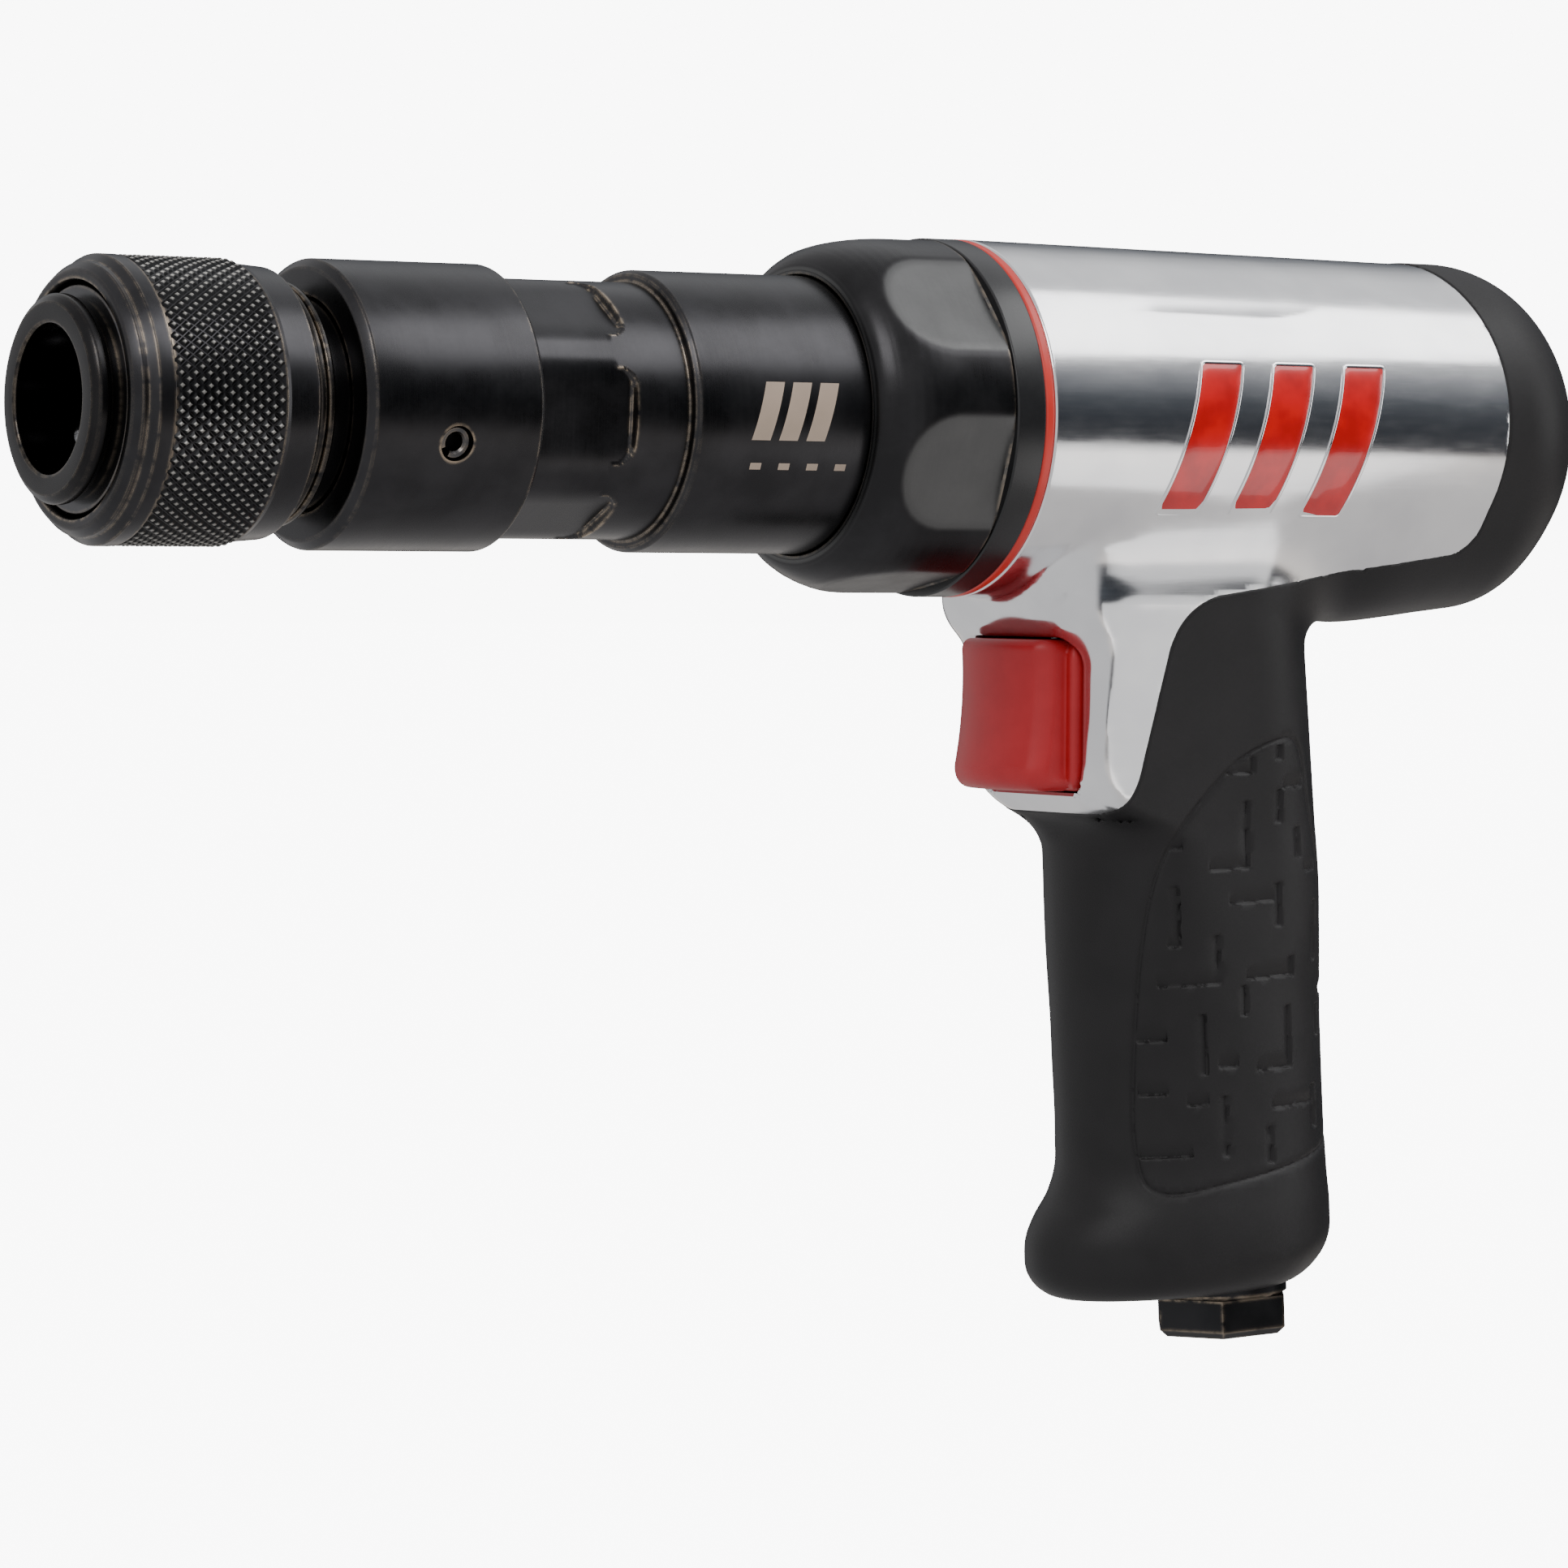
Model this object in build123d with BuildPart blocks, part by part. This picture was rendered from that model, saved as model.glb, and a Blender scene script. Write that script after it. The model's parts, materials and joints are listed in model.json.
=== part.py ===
from build123d import *
from math import cos, radians, sin, sqrt, tan
import os

# Pneumatic rivet gun, in millimetres.
# The origin is on the barrel axis at the muzzle face, +X points out of the muzzle, +Z is up and
# +Y is the operator's left. "Distance" always means millimetres behind the muzzle face, at -X.
os.makedirs("parts", exist_ok=True)

# --- Barrel line: the stations and radii that everything else follows -----------------------------
TOOL_BORE_R = 11.1              # takes the flange of a rivet set
TOOL_BORE_DEPTH = 24.0
SHANK_R = 6.375                 # takes a 12.7 mm (0.498 in) shank
PISTON_R = 9.5                  # 19 mm (3/4 in) piston
RUNNING_FIT = 0.05              # radial play of a sliding fit
SOFT_GAP = 0.3                  # room between curved faces that pass each other

COLLAR_FRONT = 42.2
NECK_FRONT = 72.7
TUBE_FRONT = 99.4
NUT_FRONT = 131.2
LOCK_RING_FRONT = 154.4
SEAL_RING_FRONT = 159.8
HOUSING_FRONT = 161.6
CAP_EDGE = 254.0
REAR_END = 276.3

COLLAR_R = 22.07
NECK_R = 20.0
TUBE_R = 22.0
NUT_R = 28.6
HOUSING_FRONT_R = 28.8
HOUSING_REAR_R = 27.5

# --- Quick-change retainer ------------------------------------------------------------------------
RETAINER_TUBE_R = 15.0
SNAP_RING_AT = 4.6
SNAP_RING_R = 17.05
SNAP_RING_THICKNESS = 0.9
SLEEVE_FRONT = 4.1
SLEEVE_REAR = 34.8
SLEEVE_R = 21.66
SLEEVE_NOSE_R = 20.4
SLEEVE_TRAVEL = 6.5
SLEEVE_SEAT = 17.0              # shoulder that the spring pushes
BUMPER_FRONT = 35.5             # front of the twin rings that stop the spring
BUMPER_R = 18.6
RETAINER_END = 49.0             # where the retainer meets the barrel
BALL_R = 3.0
BALL_AT = 12.2
BALL_LOCKED_R = 12.1            # radius of the ball centres when they hold the tool
BALL_TRAVEL = 2.0
BALL_COUNT = 3
SPRING_WIRE_R = 0.8
SPRING_R = 17.05
COLLAR_PIN_AT = 57.5
COLLAR_PIN_ANGLE = -15.6
COLLAR_PIN_R = 2.7

# --- Barrel, piston and cycle valve ---------------------------------------------------------------
BORE_FRONT = 80.0
BARREL_REAR = 192.0
FLANGE_FRONT = 171.0
FLANGE_REAR = 175.0
FLANGE_R = 25.2
SPIGOT_REAR = 168.0
SPIGOT_R = 25.45
PISTON_FRONT = 152.0
PISTON_LENGTH = 38.0
FLAT_COUNT = 6
NECK_FLAT_AT = 18.55
NUT_SHOULDER = 13.5              # length of the nut's rounded front
NUT_FRONT_R = 22.9
NUT_FLAT_AT = 27.0
NUT_FLAT_ANGLE = -19.7
AIR_PASSAGES = (60, 180, 300)    # angles up from +Y
PASSAGE_RADIUS = 15.5
DOWEL_ANGLE = 120
DOWEL_RADIUS = 19.0
DOWEL_R = 1.5
VALVE_BLOCK_REAR = 198.0
VALVE_CAP_REAR = 208.0
VALVE_STACK_R = 23.0
VALVE_R = 12.0
VALVE_THICKNESS = 1.5
VALVE_TRAVEL = 1.6
MAIN_BORE_R = 25.6
MAIN_BORE_REAR = 212.0
REAR_CHAMBER_R = 18.0
REAR_CHAMBER_END = 262.0

# --- Mark on the sides of the housing -------------------------------------------------------------
BADGE_X = -206.5
BADGE_PITCH = 14.5
BADGE_BAR = 9.0
BADGE_HEIGHT = 25.0
BADGE_FOOT = -15.5
BADGE_LEAN = -16.0              # degrees that the bars lean
BADGE_DEPTH = 0.5
BADGE_PROUD = 0.12
BADGE_SHELL_FRONT = 180.0
BADGE_SHELL_REAR = 234.0

# --- Handle: sections lie square to an axis that leans back towards the foot ----------------------
RAKE = 3.0
GRIP_FOOT = Vector(-211.8, 0, -142.0)
GRIP_LEAN = tan(radians(RAKE))
GRIP_UP = Vector(GRIP_LEAN, 0, 1).normalized()
GRIP_A = 24.2                   # half depth, front to back
GRIP_B = 17.4                   # half width
RUBBER = 2.8
UPPER_HALF_WIDTH = 17.0
UPPER_FRONT = -164.9
UPPER_REAR = -230.5
UPPER_BOTTOM = -60.0
LIP_FRONT = -174.0
LIP_BOTTOM = -66.0
CAP_ROUND = 18.0

# The keel of rubber under the rear of the cylinder: X place, top, foot and half width of each section.
KEEL_SECTIONS = [
    (-214.0, 20.0, -27.0, 22.0),
    (-238.0, 20.0, -32.4, 24.5),
    (-262.0, 18.0, -30.0, 24.0),
    (-271.0, 12.0, -27.3, 19.5),
    (-275.5, 4.0, -20.5, 11.0),
]

# Height above the foot, centre ahead of the axis, half depth and half width of each section.
GRIP_SECTIONS = [
    (0.0, 3.2, GRIP_A + 0.6, GRIP_B - 0.8),
    (1.3, 3.2, GRIP_A + 2.8, GRIP_B + 0.8),
    (4.5, 3.2, GRIP_A + 3.7, GRIP_B + 1.6),
    (10.5, 2.9, GRIP_A + 3.4, GRIP_B + 1.5),
    (13.0, 2.2, GRIP_A + 2.6, GRIP_B + 1.2),
    (16.5, 0.9, GRIP_A + 1.0, GRIP_B + 0.7),
    (20.5, 0.1, GRIP_A + 0.1, GRIP_B + 0.2),
    (30.0, 0.0, GRIP_A, GRIP_B),
    (55.0, 0.3, GRIP_A - 0.1, GRIP_B),
    (80.0, 0.4, GRIP_A - 0.3, GRIP_B - 0.4),
]

# --- Trigger and throttle -------------------------------------------------------------------------
THROTTLE_Z = -48.0
TRIGGER_TOP = -35.4
TRIGGER_BOTTOM = -59.8
TRIGGER_FRONT = -168.6
TRIGGER_SHOULDER = -175.7       # where the round face meets the straight sides
TRIGGER_BACK = -186.0
TRIGGER_HALF_WIDTH = 14.0
TRIGGER_WALL = 2.0
TRIGGER_HOLLOW_R = 70.0
TRIGGER_HOLLOW_Z = -42.0
OPENING_FACE = -177.4
POCKET_FLOOR = -193.0
STEM_R = 2.0
STEM_FRONT = -172.0
THROTTLE_BORE_R = 6.0
THROTTLE_BORE_END = -224.0
BUSHING_REAR = -199.5
SEAT_FRONT = -203.5
SEAT_REAR = -206.0
VALVE_HEAD_REAR = -210.2
VALVE_HEAD_R = 4.6
THROTTLE_PIN_R = 1.0
THROTTLE_PIN_REACH = 13.0
TRIGGER_PIN_R = 0.8
TRIGGER_PIN_REACH = 4.0

# --- Foot of the handle ---------------------------------------------------------------------------
INLET_BACK = 5.2                # inlet axis behind the handle axis
INLET_FLATS = 20.64             # 13/16 in across flats
INLET_TAP_R = 5.56              # tapping hole for a 1/4 in pipe thread
INLET_TAP_DEPTH = 14.5
INLET_HEX_BOTTOM = -8.6
INLET_HEX_TOP = -2.2
INLET_SHANK_R = 8.4
INLET_SHANK_TOP = 20.0
AIRWAY_R = 4.5
EXHAUST_R = 2.3
EXHAUST_Y = 9.0
EXHAUST_AHEAD = 10.6
FOOT_SKIN = 3.0
MUFFLER_HEIGHT = 12.0
MUFFLER_AHEAD = 11.0
MUFFLER_DEPTH = 8.0
MUFFLER_WIDTH = 19.0
FOOT_HOLE_R = 11.2
O_RING_HEIGHT = 12.0


# --- Drawing helpers ------------------------------------------------------------------------------
def spin(*profile, mode=Mode.ADD):
    """Turns a half-profile of (distance, radius) points about the barrel axis."""
    with BuildSketch(Plane.XZ) as half:
        with BuildLine():
            Polyline(*[(-distance, radius) for distance, radius in profile], close=True)
        make_face()
    revolve(half.sketch, axis=Axis.X, mode=mode)


def tube(front, rear, outer, inner, mode=Mode.ADD):
    """A plain ring or tube on the barrel axis."""
    spin((front, inner), (front, outer), (rear, outer), (rear, inner), mode=mode)


def bore(front, rear, radius):
    """A round hole along the barrel axis."""
    spin((front, 0), (front, radius), (rear, radius), (rear, 0), mode=Mode.SUBTRACT)


def facing(distance, angle, radius=0.0):
    """A plane that faces straight out from the barrel axis, at an angle up from +Y."""
    out = Vector(0, cos(radians(angle)), sin(radians(angle)))
    return Plane(origin=Vector(-distance, 0, 0) + out * radius, x_dir=(1, 0, 0), z_dir=out)


def drill(plane, radius, depth, mode=Mode.SUBTRACT):
    """A round hole, or with Mode.ADD a pin, from a plane along its normal."""
    with BuildSketch(plane) as circle:
        Circle(radius)
    extrude(circle.sketch, amount=depth, mode=mode)


def along_x(front, rear, radius, height=THROTTLE_Z, inner=0.0, mode=Mode.ADD):
    """A round bar or ring along X, at a given height, between two X places."""
    with BuildSketch(Plane(origin=(front, 0, height), x_dir=(0, 1, 0), z_dir=(-1, 0, 0))) as ring:
        Circle(radius)
        if inner:
            Circle(inner, mode=Mode.SUBTRACT)
    extrude(ring.sketch, amount=front - rear, mode=mode)


def grip_plane(height, ahead=0.0, side=0.0):
    """A plane square to the handle axis: its height above the foot, and its origin's place there."""
    forward = Vector(1, 0, -GRIP_LEAN).normalized()
    place = GRIP_FOOT + GRIP_UP * height + forward * ahead + Vector(0, side, 0)
    return Plane(origin=place, x_dir=forward, z_dir=GRIP_UP)


def coil(rear, height, length, radius, wire_r, turns=5.5):
    """A coil spring along X: the X place of its rear end, its axis height and its length."""
    rise = length - 2 * wire_r
    with BuildLine() as path:
        Helix(pitch=rise / turns, height=rise, radius=radius, center=(rear + wire_r, 0, height),
              direction=(1, 0, 0))
    with BuildSketch(Plane(origin=path.line @ 0, z_dir=path.line % 0)) as wire:
        Circle(wire_r)
    sweep(wire.sketch, path=path.line, is_frenet=True)


def rounded_oblong(front, rear, half_width):
    """An oblong section of the upper handle, with a round front and back."""
    with Locations(((front + rear) / 2, 0)):
        RectangleRounded(front - rear, 2 * half_width, half_width - 0.1)


def envelope():
    """Adds the outside of the housing and its rubber together, before they are parted."""
    with BuildSketch(Plane.XZ) as half:
        with BuildLine():
            side = Polyline((-HOUSING_FRONT, 0), (-HOUSING_FRONT, HOUSING_FRONT_R),
                            (-CAP_EDGE, HOUSING_REAR_R), (CAP_ROUND - REAR_END, HOUSING_REAR_R))
            shoulder = TangentArc(side @ 1, (-REAR_END, HOUSING_REAR_R - CAP_ROUND), tangent=(-1, 0))
            Polyline(shoulder @ 1, (-REAR_END, 0), side @ 0)
        make_face()
    revolve(half.sketch, axis=Axis.X)
    keel = []
    for place, top, foot, half_width in KEEL_SECTIONS:
        with BuildSketch(Plane.YZ.offset(place)) as section:
            with Locations((0, (top + foot) / 2)):
                Ellipse(half_width, (top - foot) / 2)
        keel.append(section.sketch)
    loft(keel, ruled=True)
    with BuildSketch(Plane.XY) as oblong:
        rounded_oblong(UPPER_FRONT, UPPER_REAR, UPPER_HALF_WIDTH)
    extrude(oblong.sketch, amount=UPPER_BOTTOM)
    with BuildSketch(Plane.XY.offset(UPPER_BOTTOM)) as lip:
        rounded_oblong(LIP_FRONT, UPPER_REAR, UPPER_HALF_WIDTH)
    with BuildSketch(Plane.XY.offset(LIP_BOTTOM)) as waist:
        rounded_oblong(LIP_FRONT - 9.0, UPPER_REAR - 1.0, UPPER_HALF_WIDTH)
    loft([lip.sketch, waist.sketch])
    sections = []
    for height, ahead, half_depth, half_width in GRIP_SECTIONS:
        with BuildSketch(grip_plane(height, ahead)) as oval:
            Ellipse(half_depth, half_width)
        sections.append(oval.sketch)
    loft(sections, ruled=True)


def metal_side():
    """The part of the side view that stays bare metal, ahead of and above the rubber's edge."""
    with BuildSketch(Plane.XZ) as region:
        with BuildLine():
            edge = ThreePointArc((-249.5, 32), (-254.3, 6), (-252.7, -14))
            turn = FilletPolyline(edge @ 1, (-252.4, -20.6), (-192, -29), (-184.7, -65.3), (-150, -63.6),
                                  radius=(5, 12, 10))
            Polyline(turn @ 1, (-150, 32), edge @ 0)
        make_face()
    return region.sketch


def metal_core(mode=Mode.ADD):
    """The casting under the rubber: the tail of the cylinder and the middle of the handle."""
    tail_r = HOUSING_REAR_R - RUBBER
    spin((CAP_EDGE - 10, 0), (CAP_EDGE - 10, tail_r), (REAR_END - 17, tail_r),
         (REAR_END - 10, tail_r - 2.4), (REAR_END - 5.5, tail_r - 7.5),
         (REAR_END - 3.5, tail_r - 13), (REAR_END - 3.5, 0), mode=mode)
    with BuildSketch(Plane.XY.offset(LIP_BOTTOM + RUBBER)) as oblong:
        rounded_oblong(LIP_FRONT - 6, UPPER_REAR + RUBBER, UPPER_HALF_WIDTH - RUBBER)
    extrude(oblong.sketch, amount=40, mode=mode)
    with BuildSketch(grip_plane(FOOT_SKIN)) as oval:
        Ellipse(GRIP_A - RUBBER, GRIP_B - RUBBER)
    extrude(oval.sketch, amount=90, mode=mode)


def trigger_pocket():
    """Cuts the pocket that the back of the trigger slides in."""
    with BuildSketch(Plane.YZ.offset(OPENING_FACE)) as pocket:
        with Locations((0, (TRIGGER_TOP + TRIGGER_BOTTOM) / 2)):
            RectangleRounded(2 * TRIGGER_HALF_WIDTH + 0.8, TRIGGER_TOP - TRIGGER_BOTTOM + 0.8, 3.4)
    extrude(pocket.sketch, amount=POCKET_FLOOR - OPENING_FACE, mode=Mode.SUBTRACT)


def badge_outline():
    """The mark on each side of the housing: three leaning bars."""
    lean = BADGE_HEIGHT * tan(radians(BADGE_LEAN)) / 2
    with BuildSketch(Plane.XZ) as mark:
        for step in (-1, 0, 1):
            middle = BADGE_X + step * BADGE_PITCH
            with BuildLine():
                Polyline((middle - lean - BADGE_BAR / 2, BADGE_FOOT),
                         (middle - lean + BADGE_BAR / 2, BADGE_FOOT),
                         (middle + lean + BADGE_BAR / 2, BADGE_FOOT + BADGE_HEIGHT),
                         (middle + lean - BADGE_BAR / 2, BADGE_FOOT + BADGE_HEIGHT), close=True)
            make_face()
    return mark.sketch


def badge(side, depth=BADGE_DEPTH, proud=BADGE_PROUD):
    """The enamel of one side's mark, sunk into the housing: side is 1 for the left, -1 for the right."""
    with BuildPart() as enamel:
        extrude(badge_outline(), amount=-side * 40)
        spin((BADGE_SHELL_FRONT, housing_radius(BADGE_SHELL_FRONT) - depth),
             (BADGE_SHELL_FRONT, housing_radius(BADGE_SHELL_FRONT) + proud),
             (BADGE_SHELL_REAR, housing_radius(BADGE_SHELL_REAR) + proud),
             (BADGE_SHELL_REAR, housing_radius(BADGE_SHELL_REAR) - depth), mode=Mode.INTERSECT)
    return enamel.part


def housing_radius(distance):
    """The radius of the housing's gentle taper at a distance."""
    along = (distance - HOUSING_FRONT) / (CAP_EDGE - HOUSING_FRONT)
    return HOUSING_FRONT_R + along * (HOUSING_REAR_R - HOUSING_FRONT_R)


# --- Retainer -------------------------------------------------------------------------------------
def retainer_body():
    """The nose tube: it holds the balls, the sleeve slides on it, and its flange sits in the collar."""
    groove = SNAP_RING_AT + SNAP_RING_THICKNESS
    with BuildPart() as body:
        spin((0, TOOL_BORE_R), (0, 14.4), (0.4, 15.1), (1.2, 15.6), (2.2, 15.6), (2.9, 15.2),
             (SNAP_RING_AT, RETAINER_TUBE_R), (SNAP_RING_AT, 14.0), (groove, 14.0),
             (groove, RETAINER_TUBE_R), (BUMPER_FRONT, RETAINER_TUBE_R), (BUMPER_FRONT, 18.1),
             (35.9, BUMPER_R), (36.5, BUMPER_R), (36.9, 17.9), (37.3, BUMPER_R), (37.9, BUMPER_R),
             (38.3, 18.1), (38.3, 16.2), (44.5, 16.2), (44.5, 19.0), (RETAINER_END, 19.0),
             (RETAINER_END, SHANK_R + 0.1), (27.0, SHANK_R + 0.1), (TOOL_BORE_DEPTH, TOOL_BORE_R),
             (BALL_AT + 3.3, TOOL_BORE_R), (BALL_AT + 3.3, TOOL_BORE_R + 0.5),
             (BALL_AT - 3.3, TOOL_BORE_R + 0.5), (BALL_AT - 3.3, TOOL_BORE_R))
        for turn in range(BALL_COUNT):
            drill(facing(BALL_AT, 90 + turn * 360 / BALL_COUNT), BALL_R + RUNNING_FIT, 18)
    return body.part


def retainer_sleeve():
    """The knurled sleeve: pulled back, its cone lets the balls move out."""
    slope = BALL_TRAVEL / SLEEVE_TRAVEL
    cone_at_ball = BALL_LOCKED_R + (BALL_R + SOFT_GAP) * sqrt(1 + slope * slope)
    land_r = RETAINER_TUBE_R + 0.1
    land_front = BALL_AT + (cone_at_ball - land_r) / slope
    mouth_r = cone_at_ball + slope * (BALL_AT - SLEEVE_FRONT)
    chamber_r = BUMPER_R + SOFT_GAP
    with BuildPart() as sleeve:
        spin((SLEEVE_FRONT, mouth_r), (SLEEVE_FRONT, 18.9), (4.6, 19.8), (5.4, SLEEVE_NOSE_R),
             (6.4, SLEEVE_NOSE_R), (7.5, SLEEVE_R), (29.2, SLEEVE_R), (30.0, 20.8), (34.2, 20.5),
             (SLEEVE_REAR, 20.0), (SLEEVE_REAR, chamber_r), (SLEEVE_SEAT, chamber_r),
             (SLEEVE_SEAT, land_r), (land_front, land_r))
    return sleeve.part


def retainer_snap_ring():
    """The open ring that stops the sleeve at the front."""
    with BuildPart() as ring:
        tube(SNAP_RING_AT, SNAP_RING_AT + SNAP_RING_THICKNESS, SNAP_RING_R, 14.05)
        with BuildSketch(facing(SNAP_RING_AT + SNAP_RING_THICKNESS / 2, -60)) as gap:
            Rectangle(3, 5)
        extrude(gap.sketch, amount=20, mode=Mode.SUBTRACT)
    return ring.part


def retainer_spring():
    """The coil spring that pushes the sleeve forwards."""
    with BuildPart() as spring:
        coil(0.05 - BUMPER_FRONT, 0, BUMPER_FRONT - SLEEVE_SEAT - 0.1, SPRING_R, SPRING_WIRE_R)
    return spring.part


def locking_ball(number):
    """One of the balls that hold the tool's flange."""
    place = facing(BALL_AT, 90 + number * 360 / BALL_COUNT, BALL_LOCKED_R)
    with BuildPart() as ball:
        with Locations(place):
            Sphere(BALL_R)
    return ball.part


def retainer_collar():
    """The threaded collar that clamps the retainer to the barrel."""
    with BuildPart() as collar:
        spin((COLLAR_FRONT, 16.6), (COLLAR_FRONT, COLLAR_R - 1.2), (COLLAR_FRONT + 0.5, COLLAR_R - 0.35),
             (COLLAR_FRONT + 1.4, COLLAR_R), (NECK_FRONT - 0.9, COLLAR_R), (NECK_FRONT, COLLAR_R - 0.8),
             (NECK_FRONT, 17.6), (RETAINER_END + 0.2, 17.6), (RETAINER_END + 0.2, 19.2), (44.3, 19.2),
             (44.3, 16.6))
        drill(facing(COLLAR_PIN_AT, COLLAR_PIN_ANGLE), COLLAR_PIN_R + RUNNING_FIT, 30)
    return collar.part


def collar_pin():
    """The rolled spring pin that keeps the collar from turning on the barrel."""
    with BuildPart() as pin:
        drill(facing(COLLAR_PIN_AT, COLLAR_PIN_ANGLE, 14.2), COLLAR_PIN_R, 7.3, mode=Mode.ADD)
        drill(facing(COLLAR_PIN_AT, COLLAR_PIN_ANGLE, 14.2), 1.5, 7.3)
        with BuildSketch(facing(COLLAR_PIN_AT, COLLAR_PIN_ANGLE, 14.2)) as slot:
            with Locations((1.5, 1.5)):
                Rectangle(4, 0.7, rotation=45)
        extrude(slot.sketch, amount=7.3, mode=Mode.SUBTRACT)
    return pin.part


# --- Barrel ---------------------------------------------------------------------------------------
def barrel():
    """The barrel: threaded front, flatted neck, bored for the shank and the piston."""
    bore_r = PISTON_R + RUNNING_FIT
    with BuildPart() as tube_part:
        spin((RETAINER_END, SHANK_R + 0.8), (RETAINER_END, 16.6), (RETAINER_END + 0.9, 17.5),
             (NECK_FRONT, 17.5), (NECK_FRONT, NECK_R), (TUBE_FRONT, NECK_R), (TUBE_FRONT, TUBE_R - 0.9),
             (TUBE_FRONT + 0.9, TUBE_R), (FLANGE_FRONT, TUBE_R), (FLANGE_FRONT, FLANGE_R),
             (FLANGE_REAR, FLANGE_R), (FLANGE_REAR, TUBE_R), (BARREL_REAR, TUBE_R),
             (BARREL_REAR, bore_r), (BORE_FRONT + 3, bore_r), (BORE_FRONT, SHANK_R),
             (RETAINER_END + 0.8, SHANK_R))
        for turn in range(FLAT_COUNT):
            with BuildSketch(facing(NECK_FRONT + 8.5, -4 + turn * 60, NECK_FLAT_AT)) as flat:
                Rectangle(17.2, 24)
            extrude(flat.sketch, amount=4, mode=Mode.SUBTRACT)
        drill(facing(COLLAR_PIN_AT, COLLAR_PIN_ANGLE, 14.0), COLLAR_PIN_R + RUNNING_FIT, 6)
        for turn in range(4):
            drill(facing(184, 45 + turn * 90, PISTON_R - 1), 2.0, 16)
        for angle in AIR_PASSAGES:
            drill(rear_plane(BARREL_REAR, angle, PASSAGE_RADIUS), 1.6, 100)
            drill(facing(93.6, angle, PISTON_R - 1), 1.4, PASSAGE_RADIUS - PISTON_R + 1)
        drill(rear_plane(BARREL_REAR, DOWEL_ANGLE, DOWEL_RADIUS), DOWEL_R + RUNNING_FIT, 4.2)
    return tube_part.part


def rear_plane(distance, angle, radius):
    """A plane that faces the muzzle, off the axis at an angle up from +Y."""
    off_axis = Vector(-distance, radius * cos(radians(angle)), radius * sin(radians(angle)))
    return Plane(origin=off_axis, x_dir=(0, 1, 0), z_dir=(1, 0, 0))


def piston():
    """The free piston, with oil grooves."""
    rear = PISTON_FRONT + PISTON_LENGTH
    with BuildPart() as hammer:
        spin((PISTON_FRONT, 0), (PISTON_FRONT, PISTON_R - 1.5), (PISTON_FRONT + 1.5, PISTON_R),
             (rear - 1, PISTON_R), (rear, PISTON_R - 1), (rear, 0))
        for groove in range(3):
            front = PISTON_FRONT + 10 + groove * 8
            tube(front, front + 1, PISTON_R + 1, PISTON_R - 0.5, mode=Mode.SUBTRACT)
    return hammer.part


def barrel_nut():
    """The bell-shaped nut that clamps the barrel into the housing, with six flats."""
    inner_r = TUBE_R + 0.15
    shoulder_end = NUT_FRONT + NUT_SHOULDER
    with BuildPart() as nut:
        with BuildSketch(Plane.XZ) as half:
            with BuildLine():
                front = Line((-NUT_FRONT, inner_r), (-NUT_FRONT, NUT_FRONT_R))
                curve = EllipticalCenterArc((-shoulder_end, NUT_FRONT_R), NUT_SHOULDER, NUT_R - NUT_FRONT_R,
                                            start_angle=0, arc_size=90)
                Polyline(curve @ 1, (-LOCK_RING_FRONT, NUT_R), (-LOCK_RING_FRONT, SPIGOT_R),
                         (-SPIGOT_REAR, SPIGOT_R), (-SPIGOT_REAR, inner_r), front @ 0)
            make_face()
        revolve(half.sketch, axis=Axis.X)
        for turn in range(FLAT_COUNT):
            with BuildSketch(facing(NUT_FRONT + 11.6, NUT_FLAT_ANGLE + turn * 60, NUT_FLAT_AT)) as flat:
                Rectangle(23.2, 28)
            extrude(flat.sketch, amount=5, mode=Mode.SUBTRACT)
    return nut.part


def lock_ring():
    """The black ring between the nut and the housing's seal."""
    with BuildPart() as ring:
        spin((LOCK_RING_FRONT, 25.6), (LOCK_RING_FRONT, 28.3), (LOCK_RING_FRONT + 0.4, 28.7),
             (SEAL_RING_FRONT, 28.7), (SEAL_RING_FRONT, 25.6))
    return ring.part


def seal_ring():
    """The thin red ring in front of the housing."""
    with BuildPart() as ring:
        tube(SEAL_RING_FRONT, HOUSING_FRONT, 28.75, 25.65)
    return ring.part


def barrel_isolator():
    """The rubber ring between the nut and the barrel's flange."""
    with BuildPart() as ring:
        tube(SPIGOT_REAR, FLANGE_FRONT, 25.0, TUBE_R + 0.1)
    return ring.part


# --- Cycle valve ----------------------------------------------------------------------------------
def valve_block():
    """The front half of the valve case, against the barrel."""
    with BuildPart() as block:
        tube(BARREL_REAR, VALVE_BLOCK_REAR, VALVE_STACK_R, 7.0)
        for angle in AIR_PASSAGES:
            drill(rear_plane(VALVE_BLOCK_REAR, angle, PASSAGE_RADIUS), 1.6, 6)
        drill(rear_plane(VALVE_BLOCK_REAR, DOWEL_ANGLE, DOWEL_RADIUS), DOWEL_R + RUNNING_FIT, 6)
    return block.part


def cycle_valve():
    """The flat disc valve that floats in the valve case and sends air to each side of the piston."""
    front = VALVE_BLOCK_REAR + 0.3
    with BuildPart() as disc:
        tube(front, front + VALVE_THICKNESS, VALVE_R, 4.0)
    return disc.part


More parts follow.
